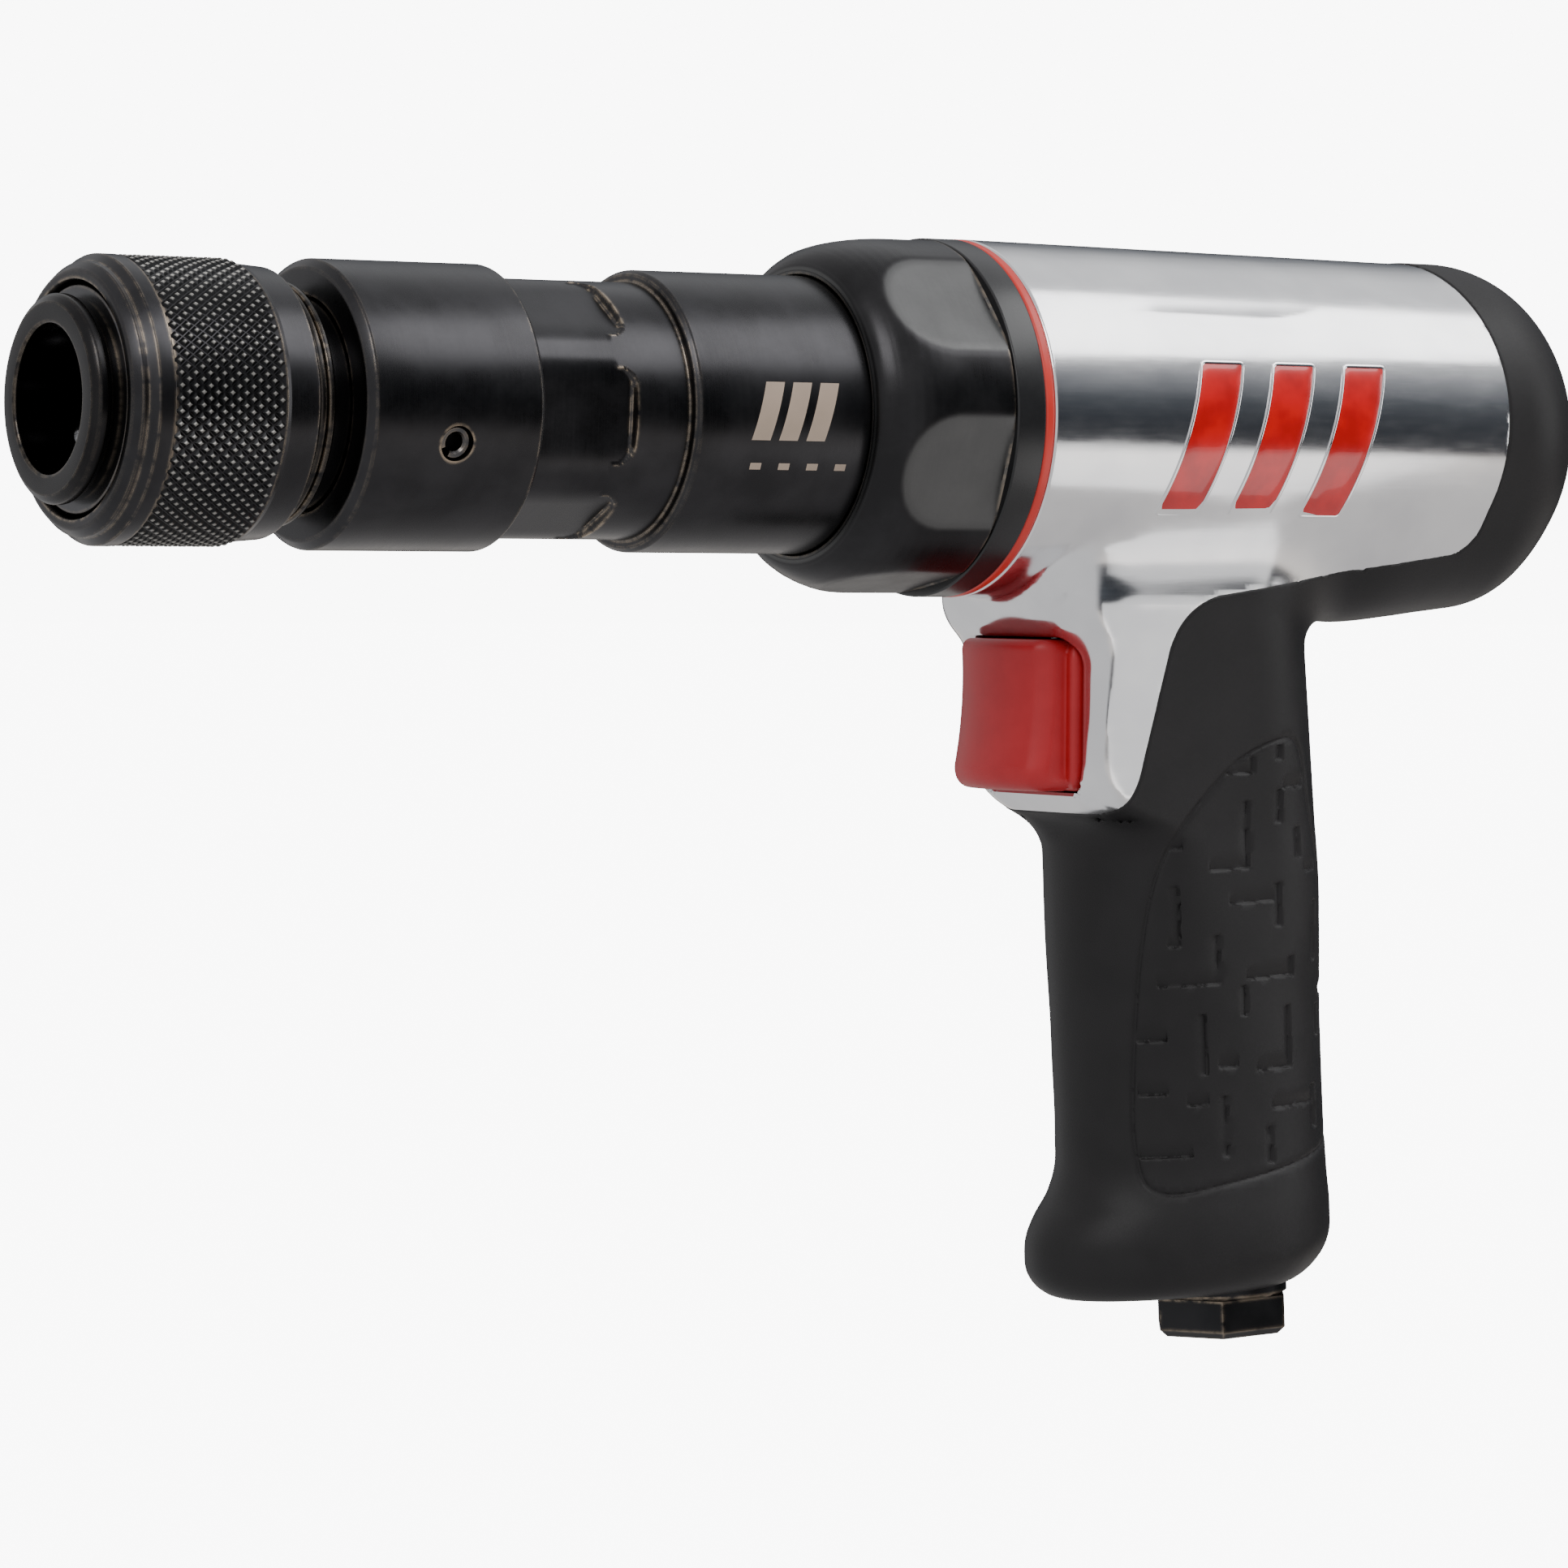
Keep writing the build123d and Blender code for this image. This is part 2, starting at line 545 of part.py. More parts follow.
def valve_cap():
    """The rear half of the valve case, with the chamber that the disc floats in."""
    chamber_end = VALVE_BLOCK_REAR + 0.3 + VALVE_THICKNESS + VALVE_TRAVEL + 0.3
    with BuildPart() as cap:
        spin((VALVE_BLOCK_REAR, 0), (VALVE_BLOCK_REAR, VALVE_STACK_R), (VALVE_CAP_REAR, VALVE_STACK_R),
             (VALVE_CAP_REAR, 0))
        bore(VALVE_BLOCK_REAR, chamber_end, VALVE_R + SOFT_GAP)
        for turn in range(6):
            drill(rear_plane(VALVE_CAP_REAR, turn * 60, 8.5), 1.8, 10)
        drill(rear_plane(VALVE_CAP_REAR - 2, DOWEL_ANGLE, DOWEL_RADIUS), DOWEL_R + RUNNING_FIT, 10)
    return cap.part


def valve_dowel():
    """The pin that lines the valve case up with the barrel's air passages."""
    with BuildPart() as pin:
        drill(rear_plane(VALVE_CAP_REAR - 2.2, DOWEL_ANGLE, DOWEL_RADIUS), DOWEL_R, 17.6, mode=Mode.ADD)
    return pin.part


def valve_spring_washer():
    """The dished washer that keeps the valve case tight against the barrel."""
    with BuildPart() as washer:
        spin((VALVE_CAP_REAR, 20.6), (VALVE_CAP_REAR, 22.6), (MAIN_BORE_REAR, 20.4), (MAIN_BORE_REAR, 18.4))
    return washer.part


# --- Housing and grip -----------------------------------------------------------------------------
def housing():
    """The cast housing: cylinder, trigger surround and the core that the rubber covers."""
    with BuildPart() as casting:
        envelope()
        extrude(metal_side(), amount=40, both=True, mode=Mode.INTERSECT)
        metal_core()
        bore(HOUSING_FRONT, MAIN_BORE_REAR, MAIN_BORE_R)
        bore(MAIN_BORE_REAR, REAR_CHAMBER_END, REAR_CHAMBER_R)
        with BuildSketch(Plane.XZ) as opening:
            with Locations((OPENING_FACE, (TRIGGER_TOP + TRIGGER_BOTTOM) / 2)):
                Rectangle(40, TRIGGER_TOP - TRIGGER_BOTTOM + 0.8, align=(Align.MIN, Align.CENTER))
        extrude(opening.sketch, amount=30, both=True, mode=Mode.SUBTRACT)
        trigger_pocket()
        along_x(POCKET_FLOOR, THROTTLE_BORE_END, THROTTLE_BORE_R, mode=Mode.SUBTRACT)
        drill(grip_plane(0, -INLET_BACK), AIRWAY_R, 94)
        drill(grip_plane(0, -INLET_BACK), INLET_SHANK_R + RUNNING_FIT, INLET_SHANK_TOP + 2)
        for side in (-EXHAUST_Y, EXHAUST_Y):
            drill(grip_plane(FOOT_SKIN, EXHAUST_AHEAD, side), EXHAUST_R, 116)
        with BuildSketch(grip_plane(FOOT_SKIN, MUFFLER_AHEAD)) as chamber:
            Rectangle(MUFFLER_DEPTH, MUFFLER_WIDTH)
        extrude(chamber.sketch, amount=MUFFLER_HEIGHT, mode=Mode.SUBTRACT)
        rising = Vector(-24.5, 0, 27).normalized()
        drill(Plane(origin=(-201.5, 0, THROTTLE_Z + 3), x_dir=(0, 1, 0), z_dir=rising), 2.5, 40)
        drill(throttle_pin_plane(), THROTTLE_PIN_R + RUNNING_FIT, 2 * THROTTLE_PIN_REACH)
        for side in (1, -1):
            add(badge(side), mode=Mode.SUBTRACT)
    return casting.part


def throttle_pin_plane():
    """The plane where the pin across the throttle bushing starts, on the right of the handle."""
    return Plane(origin=(-196.5, -THROTTLE_PIN_REACH, THROTTLE_Z - THROTTLE_BORE_R + 0.6), x_dir=(1, 0, 0),
                 z_dir=(0, 1, 0))


def grip_cover():
    """The moulded rubber: the cap on the back of the cylinder and the skin of the handle, in one."""
    with BuildPart() as rubber:
        envelope()
        extrude(metal_side(), amount=40, both=True, mode=Mode.SUBTRACT)
        metal_core(mode=Mode.SUBTRACT)
        trigger_pocket()
        drill(grip_plane(-1, -INLET_BACK), FOOT_HOLE_R, FOOT_SKIN + 2)
        with BuildSketch(grip_plane(-1, MUFFLER_AHEAD)) as grille_seat:
            Rectangle(MUFFLER_DEPTH, MUFFLER_WIDTH)
        extrude(grille_seat.sketch, amount=FOOT_SKIN + 2, mode=Mode.SUBTRACT)
    return rubber.part


# --- Trigger and throttle -------------------------------------------------------------------------
def trigger():
    """The trigger: a round-fronted shell with a hollowed face and a boss for the stem."""
    height = TRIGGER_TOP - TRIGGER_BOTTOM
    with BuildPart() as lever:
        with BuildSketch(Plane.XY.offset(TRIGGER_BOTTOM)) as plan:
            with BuildLine():
                arc = ThreePointArc((TRIGGER_SHOULDER, -TRIGGER_HALF_WIDTH), (TRIGGER_FRONT + 1.6, 0),
                                    (TRIGGER_SHOULDER, TRIGGER_HALF_WIDTH))
                Polyline(arc @ 1, (TRIGGER_BACK, TRIGGER_HALF_WIDTH), (TRIGGER_BACK, -TRIGGER_HALF_WIDTH),
                         arc @ 0)
            make_face()
        extrude(plan.sketch, amount=height)
        with BuildSketch(Plane.XZ) as finger_hollow:
            with Locations((TRIGGER_FRONT + TRIGGER_HOLLOW_R, TRIGGER_HOLLOW_Z)):
                Circle(TRIGGER_HOLLOW_R)
        extrude(finger_hollow.sketch, amount=20, both=True, mode=Mode.SUBTRACT)
        fillet(lever.edges().filter_by(Axis.X), radius=2.6)
        with BuildSketch(Plane.YZ.offset(TRIGGER_BACK)) as inside:
            with Locations((0, (TRIGGER_TOP + TRIGGER_BOTTOM) / 2)):
                Rectangle(2 * (TRIGGER_HALF_WIDTH - TRIGGER_WALL), height - 2 * TRIGGER_WALL)
        extrude(inside.sketch, amount=TRIGGER_SHOULDER - TRIGGER_BACK, mode=Mode.SUBTRACT)
        along_x(TRIGGER_SHOULDER, TRIGGER_BACK + 4, 4.0)
        along_x(STEM_FRONT, TRIGGER_BACK, STEM_R + 0.02, mode=Mode.SUBTRACT)
        drill(trigger_pin_plane(), TRIGGER_PIN_R + 0.02, 2 * TRIGGER_PIN_REACH)
    return lever.part


def trigger_pin_plane():
    """The plane where the pin across the trigger's boss starts."""
    return Plane(origin=(-178.6, -TRIGGER_PIN_REACH, THROTTLE_Z), x_dir=(1, 0, 0), z_dir=(0, 1, 0))


def trigger_pin():
    """The small pin that holds the stem in the trigger's boss."""
    with BuildPart() as pin:
        drill(trigger_pin_plane(), TRIGGER_PIN_R, 2 * TRIGGER_PIN_REACH, mode=Mode.ADD)
    return pin.part


def throttle_stem():
    """The rod from the trigger to the throttle valve."""
    with BuildPart() as stem:
        along_x(STEM_FRONT - 0.1, VALVE_HEAD_REAR + 0.5, STEM_R)
        drill(trigger_pin_plane(), TRIGGER_PIN_R + 0.02, 2 * TRIGGER_PIN_REACH)
    return stem.part


def throttle_bushing():
    """The brass guide for the stem."""
    with BuildPart() as bushing:
        along_x(POCKET_FLOOR - 0.3, BUSHING_REAR, THROTTLE_BORE_R - 0.05, inner=STEM_R + RUNNING_FIT)
        drill(throttle_pin_plane(), THROTTLE_PIN_R + RUNNING_FIT, 2 * THROTTLE_PIN_REACH)
    return bushing.part


def throttle_pin():
    """The cross pin that keeps the bushing in the handle."""
    with BuildPart() as pin:
        drill(throttle_pin_plane(), THROTTLE_PIN_R, 2 * THROTTLE_PIN_REACH, mode=Mode.ADD)
    return pin.part


def throttle_seat():
    """The ring that the throttle valve closes against."""
    with BuildPart() as seat:
        along_x(SEAT_FRONT, SEAT_REAR, THROTTLE_BORE_R - 0.05, inner=3.2)
    return seat.part


def throttle_valve():
    """The valve head on the end of the stem."""
    with BuildPart() as head:
        along_x(SEAT_REAR - 0.3, VALVE_HEAD_REAR, VALVE_HEAD_R, inner=STEM_R + 0.02)
        chamfer(head.edges().group_by(Axis.X)[-1].sort_by(SortBy.RADIUS)[-1], length=1.0)
    return head.part


def throttle_spring():
    """The spring that closes the throttle and returns the trigger."""
    length = VALVE_HEAD_REAR - THROTTLE_BORE_END - 0.1
    with BuildPart() as spring:
        coil(THROTTLE_BORE_END + 0.05, THROTTLE_Z, length, 3.5, 0.35)
    return spring.part


# --- Inlet and exhaust at the foot ----------------------------------------------------------------
def inlet_bushing():
    """The hexagonal air inlet, tapped for a 1/4 in pipe fitting."""
    with BuildPart() as bushing:
        with BuildSketch(grip_plane(INLET_HEX_BOTTOM, -INLET_BACK)) as hexagon:
            RegularPolygon(INLET_FLATS / 2, 6, major_radius=False, rotation=-5)
        extrude(hexagon.sketch, amount=INLET_HEX_TOP - INLET_HEX_BOTTOM)
        chamfer(bushing.faces().sort_by(Axis.Z)[0].edges(), length=1.2)
        drill(grip_plane(INLET_HEX_TOP, -INLET_BACK), INLET_SHANK_R + 1.6, 5.1, mode=Mode.ADD)
        drill(grip_plane(INLET_HEX_TOP, -INLET_BACK), INLET_SHANK_R, INLET_SHANK_TOP - INLET_HEX_TOP,
              mode=Mode.ADD)
        drill(grip_plane(INLET_HEX_BOTTOM, -INLET_BACK), INLET_TAP_R, INLET_TAP_DEPTH)
        drill(grip_plane(INLET_HEX_BOTTOM, -INLET_BACK), AIRWAY_R, 40)
        with BuildSketch(grip_plane(O_RING_HEIGHT, -INLET_BACK)) as groove:
            Circle(INLET_SHANK_R + 1)
            Circle(INLET_SHANK_R - 1.3, mode=Mode.SUBTRACT)
        extrude(groove.sketch, amount=2.4, mode=Mode.SUBTRACT)
    return bushing.part


def inlet_o_ring():
    """The seal between the inlet and the handle."""
    with BuildPart() as ring:
        with Locations(grip_plane(O_RING_HEIGHT + 1.2, -INLET_BACK)):
            Torus(INLET_SHANK_R - 0.63, 0.65)
    return ring.part


def inlet_screen():
    """The strainer cup that sits on top of the inlet."""
    with BuildPart() as screen:
        drill(grip_plane(INLET_SHANK_TOP, -INLET_BACK), 6.8, 0.8, mode=Mode.ADD)
        drill(grip_plane(INLET_SHANK_TOP, -INLET_BACK), 4.2, 7, mode=Mode.ADD)
        drill(grip_plane(INLET_SHANK_TOP, -INLET_BACK), 3.6, 6.4)
        for level in range(2):
            with Locations(grip_plane(INLET_SHANK_TOP + 2.3 + 2.4 * level, -INLET_BACK)):
                with PolarLocations(0, 4):
                    Cylinder(0.7, 12, rotation=(0, 90, 0), mode=Mode.SUBTRACT)
    return screen.part


def inlet_collar():
    """The thin ring between the rubber foot and the hexagon."""
    with BuildPart() as ring:
        with BuildSketch(grip_plane(INLET_HEX_TOP + 0.4, -INLET_BACK)) as washer:
            Circle(11.0)
            Circle(INLET_SHANK_R + 1.7, mode=Mode.SUBTRACT)
        extrude(washer.sketch, amount=3.6)
    return ring.part


def exhaust_muffler():
    """The felt block that quietens the exhaust."""
    with BuildPart() as felt:
        with BuildSketch(grip_plane(FOOT_SKIN + 0.1, MUFFLER_AHEAD)) as block:
            Rectangle(MUFFLER_DEPTH - 0.4, MUFFLER_WIDTH - 0.4)
        extrude(block.sketch, amount=MUFFLER_HEIGHT - 0.6)
    return felt.part


def exhaust_grille():
    """The slotted plate in the foot that lets the exhaust air out."""
    with BuildPart() as plate:
        with BuildSketch(grip_plane(0.4, MUFFLER_AHEAD)) as outline:
            Rectangle(MUFFLER_DEPTH - 0.2, MUFFLER_WIDTH - 0.2)
            with GridLocations(0, 3.6, 1, 5):
                SlotOverall(6.0, 1.6, mode=Mode.SUBTRACT)
        extrude(outline.sketch, amount=FOOT_SKIN - 0.6)
    return plate.part


PIECES = {
    "retainer_body": retainer_body,
    "retainer_sleeve": retainer_sleeve,
    "retainer_snap_ring": retainer_snap_ring,
    "retainer_spring": retainer_spring,
    "locking_ball_1": lambda: locking_ball(0),
    "locking_ball_2": lambda: locking_ball(1),
    "locking_ball_3": lambda: locking_ball(2),
    "retainer_collar": retainer_collar,
    "collar_pin": collar_pin,
    "barrel": barrel,
    "piston": piston,
    "barrel_nut": barrel_nut,
    "lock_ring": lock_ring,
    "seal_ring": seal_ring,
    "barrel_isolator": barrel_isolator,
    "valve_block": valve_block,
    "cycle_valve": cycle_valve,
    "valve_cap": valve_cap,
    "valve_dowel": valve_dowel,
    "valve_spring_washer": valve_spring_washer,
    "housing": housing,
    "badge_left": lambda: badge(1),
    "badge_right": lambda: badge(-1),
    "grip_cover": grip_cover,
    "trigger": trigger,
    "trigger_pin": trigger_pin,
    "throttle_stem": throttle_stem,
    "throttle_bushing": throttle_bushing,
    "throttle_pin": throttle_pin,
    "throttle_seat": throttle_seat,
    "throttle_valve": throttle_valve,
    "throttle_spring": throttle_spring,
    "inlet_bushing": inlet_bushing,
    "inlet_o_ring": inlet_o_ring,
    "inlet_screen": inlet_screen,
    "inlet_collar": inlet_collar,
    "exhaust_muffler": exhaust_muffler,
    "exhaust_grille": exhaust_grille,
}

for name, make in PIECES.items():
    piece = make()
    piece.label = name
    export_step(piece, f"parts/{name}.step")
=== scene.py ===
import json
from math import atan2, cos, pi, radians, sin, tan

import bmesh
import bpy
import numpy as np
from mathutils import Matrix, Vector


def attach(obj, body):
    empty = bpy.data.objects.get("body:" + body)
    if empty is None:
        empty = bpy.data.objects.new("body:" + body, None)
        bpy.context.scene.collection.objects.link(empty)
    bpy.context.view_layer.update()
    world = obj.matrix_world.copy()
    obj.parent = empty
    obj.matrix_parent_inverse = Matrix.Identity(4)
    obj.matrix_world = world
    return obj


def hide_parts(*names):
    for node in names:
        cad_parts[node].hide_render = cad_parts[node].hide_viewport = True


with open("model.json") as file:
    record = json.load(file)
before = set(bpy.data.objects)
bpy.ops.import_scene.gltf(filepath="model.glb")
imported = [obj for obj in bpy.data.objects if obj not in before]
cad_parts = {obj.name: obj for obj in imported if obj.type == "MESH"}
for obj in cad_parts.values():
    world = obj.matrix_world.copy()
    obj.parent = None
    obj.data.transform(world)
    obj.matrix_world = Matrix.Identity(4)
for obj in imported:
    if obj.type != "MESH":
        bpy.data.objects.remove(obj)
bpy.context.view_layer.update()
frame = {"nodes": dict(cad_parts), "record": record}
MM = 0.001

# A pneumatic rivet gun. The barrel lies on the X axis with its muzzle face at X 0, +Z is up, and
# "distance" means millimetres behind the muzzle face. Shapes are worked out in millimetres.

# --- Sizes, in millimetres ---------------------------------------------------------------------------
# Along the barrel
COLLAR_FRONT = 42.2
PIN_AT = 57.5
NECK_FRONT = 72.7
NECK_FLAT_END = NECK_FRONT + 17.1
TUBE_FRONT = 99.4
NUT_FRONT = 131.2
BELL_LENGTH = 13.5
LOCK_RING_FRONT = 154.4
SEAL_RING_FRONT = 159.8
HOUSING_FRONT = 161.6
CAP_EDGE = 254.0
REAR_END = 276.0
# Radii about the barrel axis
SLEEVE_R = 21.66
KNURL_ROOT_R = SLEEVE_R - 0.55
COLLAR_R = 22.05
NECK_R = 20.0
TUBE_R = 21.98
BELL_FRONT_R = 22.9
NUT_R = 28.6
HOUSING_FRONT_R = 28.75
HOUSING_REAR_R = 27.5
HOUSING_BORE_R = 25.7
# Flats: how far they are from the axis, and where the first one faces, in degrees up from +Y
NECK_FLAT_AT = 18.55
NECK_FLAT_ANGLE = -4.0
NUT_FLAT_AT = 27.0
NUT_FLAT_ANGLE = -19.7
PIN_ANGLE = -15.6
# The handle
RAKE = 3.0
FOOT = np.array((-211.8, 0.0, -142.0))
UP = np.array((sin(radians(RAKE)), 0.0, cos(radians(RAKE))))
FORWARD = np.array((cos(radians(RAKE)), 0.0, -sin(radians(RAKE))))
GRIP_HALF_DEPTH = 24.2
GRIP_HALF_WIDTH = 17.4
UPPER_HALF_WIDTH = 17.0
UPPER_REAR = -229.0
RUBBER_PROUD = 0.22
RUBBER_THICKNESS = 2.6
# The trigger and the room around it
OPENING_FACE = -177.4
POCKET_HALF_WIDTH = 14.35
POCKET_REAR = -193.0
TRIGGER_TOP = -35.4
TRIGGER_BOTTOM = -59.8
TRIGGER_HALF_WIDTH = 12.0
HEAD_REAR = -177.0
FLANGE_FACE = -175.9
FLANGE_HALF_WIDTH = 13.9
TRIGGER_REAR = -186.0
FINGER_RADIUS = 70.0
# The tread's cuts
TREAD_DEPTH = 0.62
GROOVE_DEPTH = 0.42
GROOVE_HALF_WIDTH = 0.36
FAR_AWAY = 9.0
# The leaning bars on the housing
BAR_MIDDLE = -206.5
BAR_SPACING = 14.5
BAR_FOOT = -15.5
BAR_HALF_WIDTH = 4.5
BAR_HEIGHT = 25.0
BAR_LEAN = -tan(radians(16))

# --- Camera and light, in metres and degrees ---------------------------------------------------------
CAMERA_PLACE = (0.42948, 0.86232, -0.02186)
CAMERA_AROUND = 147.03
CAMERA_HEIGHT = 2.035
CAMERA_ROLL = 0.462
CAMERA_LENS = 149.07
FLOOR_LEVEL = -0.42
FLOOR_HALF_SIZE = 30
FLOOR_GLOW = 8.6
BACKDROP = (9, 9, 9)
# What the studio's walls send back: pale below, dark level with the tool, pale above.
STUDIO_STOPS = [
    (0.0, (0.55, 0.54, 0.55)), (0.26, (0.72, 0.70, 0.69)), (0.360, (1.0, 0.94, 0.89)),
    (0.376, (0.045, 0.046, 0.052)), (0.5, (0.03, 0.034, 0.042)), (0.6, (0.07, 0.078, 0.09)),
    (0.70, (0.26, 0.27, 0.29)), (0.84, (0.95, 0.96, 0.98))]
STUDIO_FRONT = (0.72, 0.72, 0.73)


def add_camera():
    """The camera, three quarters from the front left, level with the barrel."""
    around, height, roll = radians(CAMERA_AROUND), radians(CAMERA_HEIGHT), radians(CAMERA_ROLL)
    back = Vector((sin(around) * cos(height), -cos(around) * cos(height), sin(height)))
    level = Vector((cos(around), sin(around), 0))
    above = back.cross(level)
    right = cos(roll) * level + sin(roll) * above
    up = cos(roll) * above - sin(roll) * level
    camera = bpy.data.objects.new("camera", bpy.data.cameras.new("camera"))
    camera.data.sensor_width = 36
    camera.data.lens = CAMERA_LENS
    camera.data.clip_end = 50
    turn = Matrix((right, up, back)).transposed().to_4x4()
    camera.matrix_world = Matrix.Translation(Vector(CAMERA_PLACE)) @ turn
    bpy.context.collection.objects.link(camera)
    bpy.context.scene.camera = camera


def add_light(name, place, size, power, target=(-0.14, 0, -0.03)):
    """A soft rectangular lamp that faces the tool."""
    lamp = bpy.data.objects.new(name, bpy.data.lights.new(name, "AREA"))
    lamp.data.shape = "RECTANGLE"
    lamp.data.size, lamp.data.size_y = size
    lamp.data.energy = power
    lamp.location = place
    lamp.rotation_euler = (Vector(target) - Vector(place)).to_track_quat("-Z", "Y").to_euler()
    lamp.visible_camera = False
    bpy.context.collection.objects.link(lamp)


# --- Shader nodes ------------------------------------------------------------------------------------
class Flow:
    """A number, colour or vector on its way between shader nodes. Numbers take part in sums."""

    def __init__(self, owner, socket):
        self.owner = owner
        self.socket = socket

    def math(self, operation, *values):
        return self.owner.node("ShaderNodeMath", {"operation": operation}, dict(enumerate(values)))

    def __add__(self, other):
        return self.math("ADD", self, other)

    def __radd__(self, other):
        return self.math("ADD", other, self)

    def __sub__(self, other):
        return self.math("SUBTRACT", self, other)

    def __rsub__(self, other):
        return self.math("SUBTRACT", other, self)

    def __mul__(self, other):
        return self.math("MULTIPLY", self, other)

    def __rmul__(self, other):
        return self.math("MULTIPLY", other, self)

    def __truediv__(self, other):
        return self.math("DIVIDE", self, other)

    def __pow__(self, other):
        return self.math("POWER", self, other)

    def ramp(self, low, high, start=0.0, end=1.0):
        """Rises smoothly from start to end as this goes from low to high."""
        values = {"Value": self, "From Min": low, "From Max": high, "To Min": start, "To Max": end}
        return self.owner.node("ShaderNodeMapRange", {"interpolation_type": "SMOOTHSTEP"}, values)


class Nodes:
    """The nodes of a material or of the studio."""

    def __init__(self, tree):
        self.tree = tree
        tree.nodes.clear()

    def node(self, kind, settings, values, output=0):
        """Adds a node: its type, its settings, then the values or links of its sockets."""
        made = self.tree.nodes.new(kind)
        for name, setting in settings.items():
            setattr(made, name, setting)
        for name, value in values.items():
            if isinstance(value, Flow):
                self.tree.links.new(value.socket, made.inputs[name])
            else:
                made.inputs[name].default_value = value
        return Flow(self, made.outputs[output]) if made.outputs else None

    def split(self, vector):
        """The X, Y and Z of a vector."""
        parted = self.node("ShaderNodeSeparateXYZ", {}, {"Vector": vector}).socket.node
        return [Flow(self, parted.outputs[axis]) for axis in "XYZ"]

    def mix(self, share, first, second):
        """A colour that goes from the first to the second."""
        made = self.tree.nodes.new("ShaderNodeMix")
        made.data_type = "RGBA"
        for socket, value in ((0, share), (6, first), (7, second)):
            if isinstance(value, Flow):
                self.tree.links.new(value.socket, made.inputs[socket])
            else:
                made.inputs[socket].default_value = value if socket == 0 else (*value, 1)
        return Flow(self, made.outputs[2])

    def colours(self, share, stops):
        """A colour that changes through several stops of (share, colour)."""
        made = self.tree.nodes.new("ShaderNodeValToRGB")
        bar = made.color_ramp.elements
        while len(bar) < len(stops):
            bar.new(0.5)
        for stop, (position, colour) in zip(bar, stops):
            stop.position = position
            stop.color = (*colour, 1)
        self.tree.links.new(share.socket, made.inputs[0])
        return Flow(self, made.outputs[0])


class Finish(Nodes):
    """One material and its nodes."""

    def __init__(self, name):
        self.material = bpy.data.materials.new(name)
        self.material.use_nodes = True
        super().__init__(self.material.node_tree)

    def place(self, scale=(1, 1, 1)):
        """Object coordinates in millimetres, stretched by a scale."""
        there = self.node("ShaderNodeTexCoord", {}, {}, "Object")
        sized = tuple(each / MM for each in scale)
        return self.node("ShaderNodeMapping", {}, {"Vector": there, "Scale": sized})

    def noise(self, pitch, detail=3.0, stretch=(1, 1, 1)):
        """Smooth noise from 0 to 1 whose lumps are about a pitch apart, in millimetres."""
        where = self.place(stretch)
        return self.node("ShaderNodeTexNoise", {}, {"Vector": where, "Scale": 1 / pitch, "Detail": detail})

    def edges(self, width):
        """1 along the outer and inner edges of the shape, 0 on its plain faces."""
        rounded = self.node("ShaderNodeBevel", {"samples": 6}, {"Radius": width * MM})
        true = self.node("ShaderNodeNewGeometry", {}, {}, "Normal")
        along = self.node("ShaderNodeVectorMath", {"operation": "DOT_PRODUCT"}, {0: rounded, 1: true}, 1)
        return (1 - along).ramp(0.006, 0.07)

    def bump(self, height, depth):
        """A normal from a height of 0 to 1 that is so many millimetres deep."""
        return self.node("ShaderNodeBump", {}, {"Height": height, "Distance": depth * MM, "Strength": 1.0})

    def surface(self, **values):
        """Ends the material in a Principled shader and returns it."""
        named = {name.replace("_", " "): value for name, value in values.items()}
        shader = self.node("ShaderNodeBsdfPrincipled", {}, named)
        self.node("ShaderNodeOutputMaterial", {}, {"Surface": shader})
        return self.material


# --- Finishes ----------------------------------------------------------------------------------------
def out_from_axis(finish):
    """How far the surface is from the barrel axis, in millimetres."""
    _, across, up = finish.split(finish.place())
    return (across * across + up * up) ** 0.5


def knurl_tips(finish):
    """1 on the tips of the knurl's points. The tips take a pale colour that is worn steel and also a
    painted highlight on each tip.
    """
    return out_from_axis(finish).ramp(SLEEVE_R - 0.25, SLEEVE_R - 0.05)


def nut_flats(finish):
    """1 on the nut's six flats, which lie inside its turned outline."""
    along, _, _ = finish.split(finish.place())
    before_flats = (along + NUT_FRONT + BELL_LENGTH) / BELL_LENGTH
    run = before_flats.math("MAXIMUM", before_flats, 0.0)
    turned_radius = BELL_FRONT_R + (NUT_R - BELL_FRONT_R) * (1 - run * run) ** 0.5
    return (turned_radius - out_from_axis(finish)).ramp(0.04, 0.22)


def black_oxide(name, shade=(0.052, 0.051, 0.054), roughness=0.27, wear=0.9, bare=None, bare_and_sheen_shade=None):
    """Blackened steel: satin, finely turned, with warm bright edges where the black has rubbed off."""
    finish = Finish(name)
    cloud = finish.noise(9.0, 4.0)
    fine = finish.noise(0.7, 2.0)
    turned = finish.noise(0.16, 2.0, (1, 0.02, 0.02))
    scuffs = finish.noise(1.6, 5.0, (0.5, 1, 1))
    rubbed = finish.edges(0.9) * scuffs.ramp(0.3, 0.6) * wear
    dark = tuple(each * 0.72 for each in shade)
    oxide = finish.mix(cloud.ramp(0.3, 0.7), dark, shade)
    rough = roughness + cloud.ramp(0.3, 0.7) * 0.06 + (fine - 0.5) * 0.05 + (turned - 0.5) * 0.08
    # Spots under a mask take a second colour: satin bare steel on the nut's flats, and on the knurl's tips
    # worn steel that is also a painted highlight.
    if bare:
        mask = bare(finish)
        oxide = finish.mix(mask, oxide, bare_and_sheen_shade)
        rough = rough + mask * 0.14
    colour = finish.mix(rubbed, oxide, (0.52, 0.42, 0.31))
    relief = finish.bump(turned, 0.0012)
    return finish.surface(Base_Color=colour, Metallic=1.0, Roughness=rough, Normal=relief)


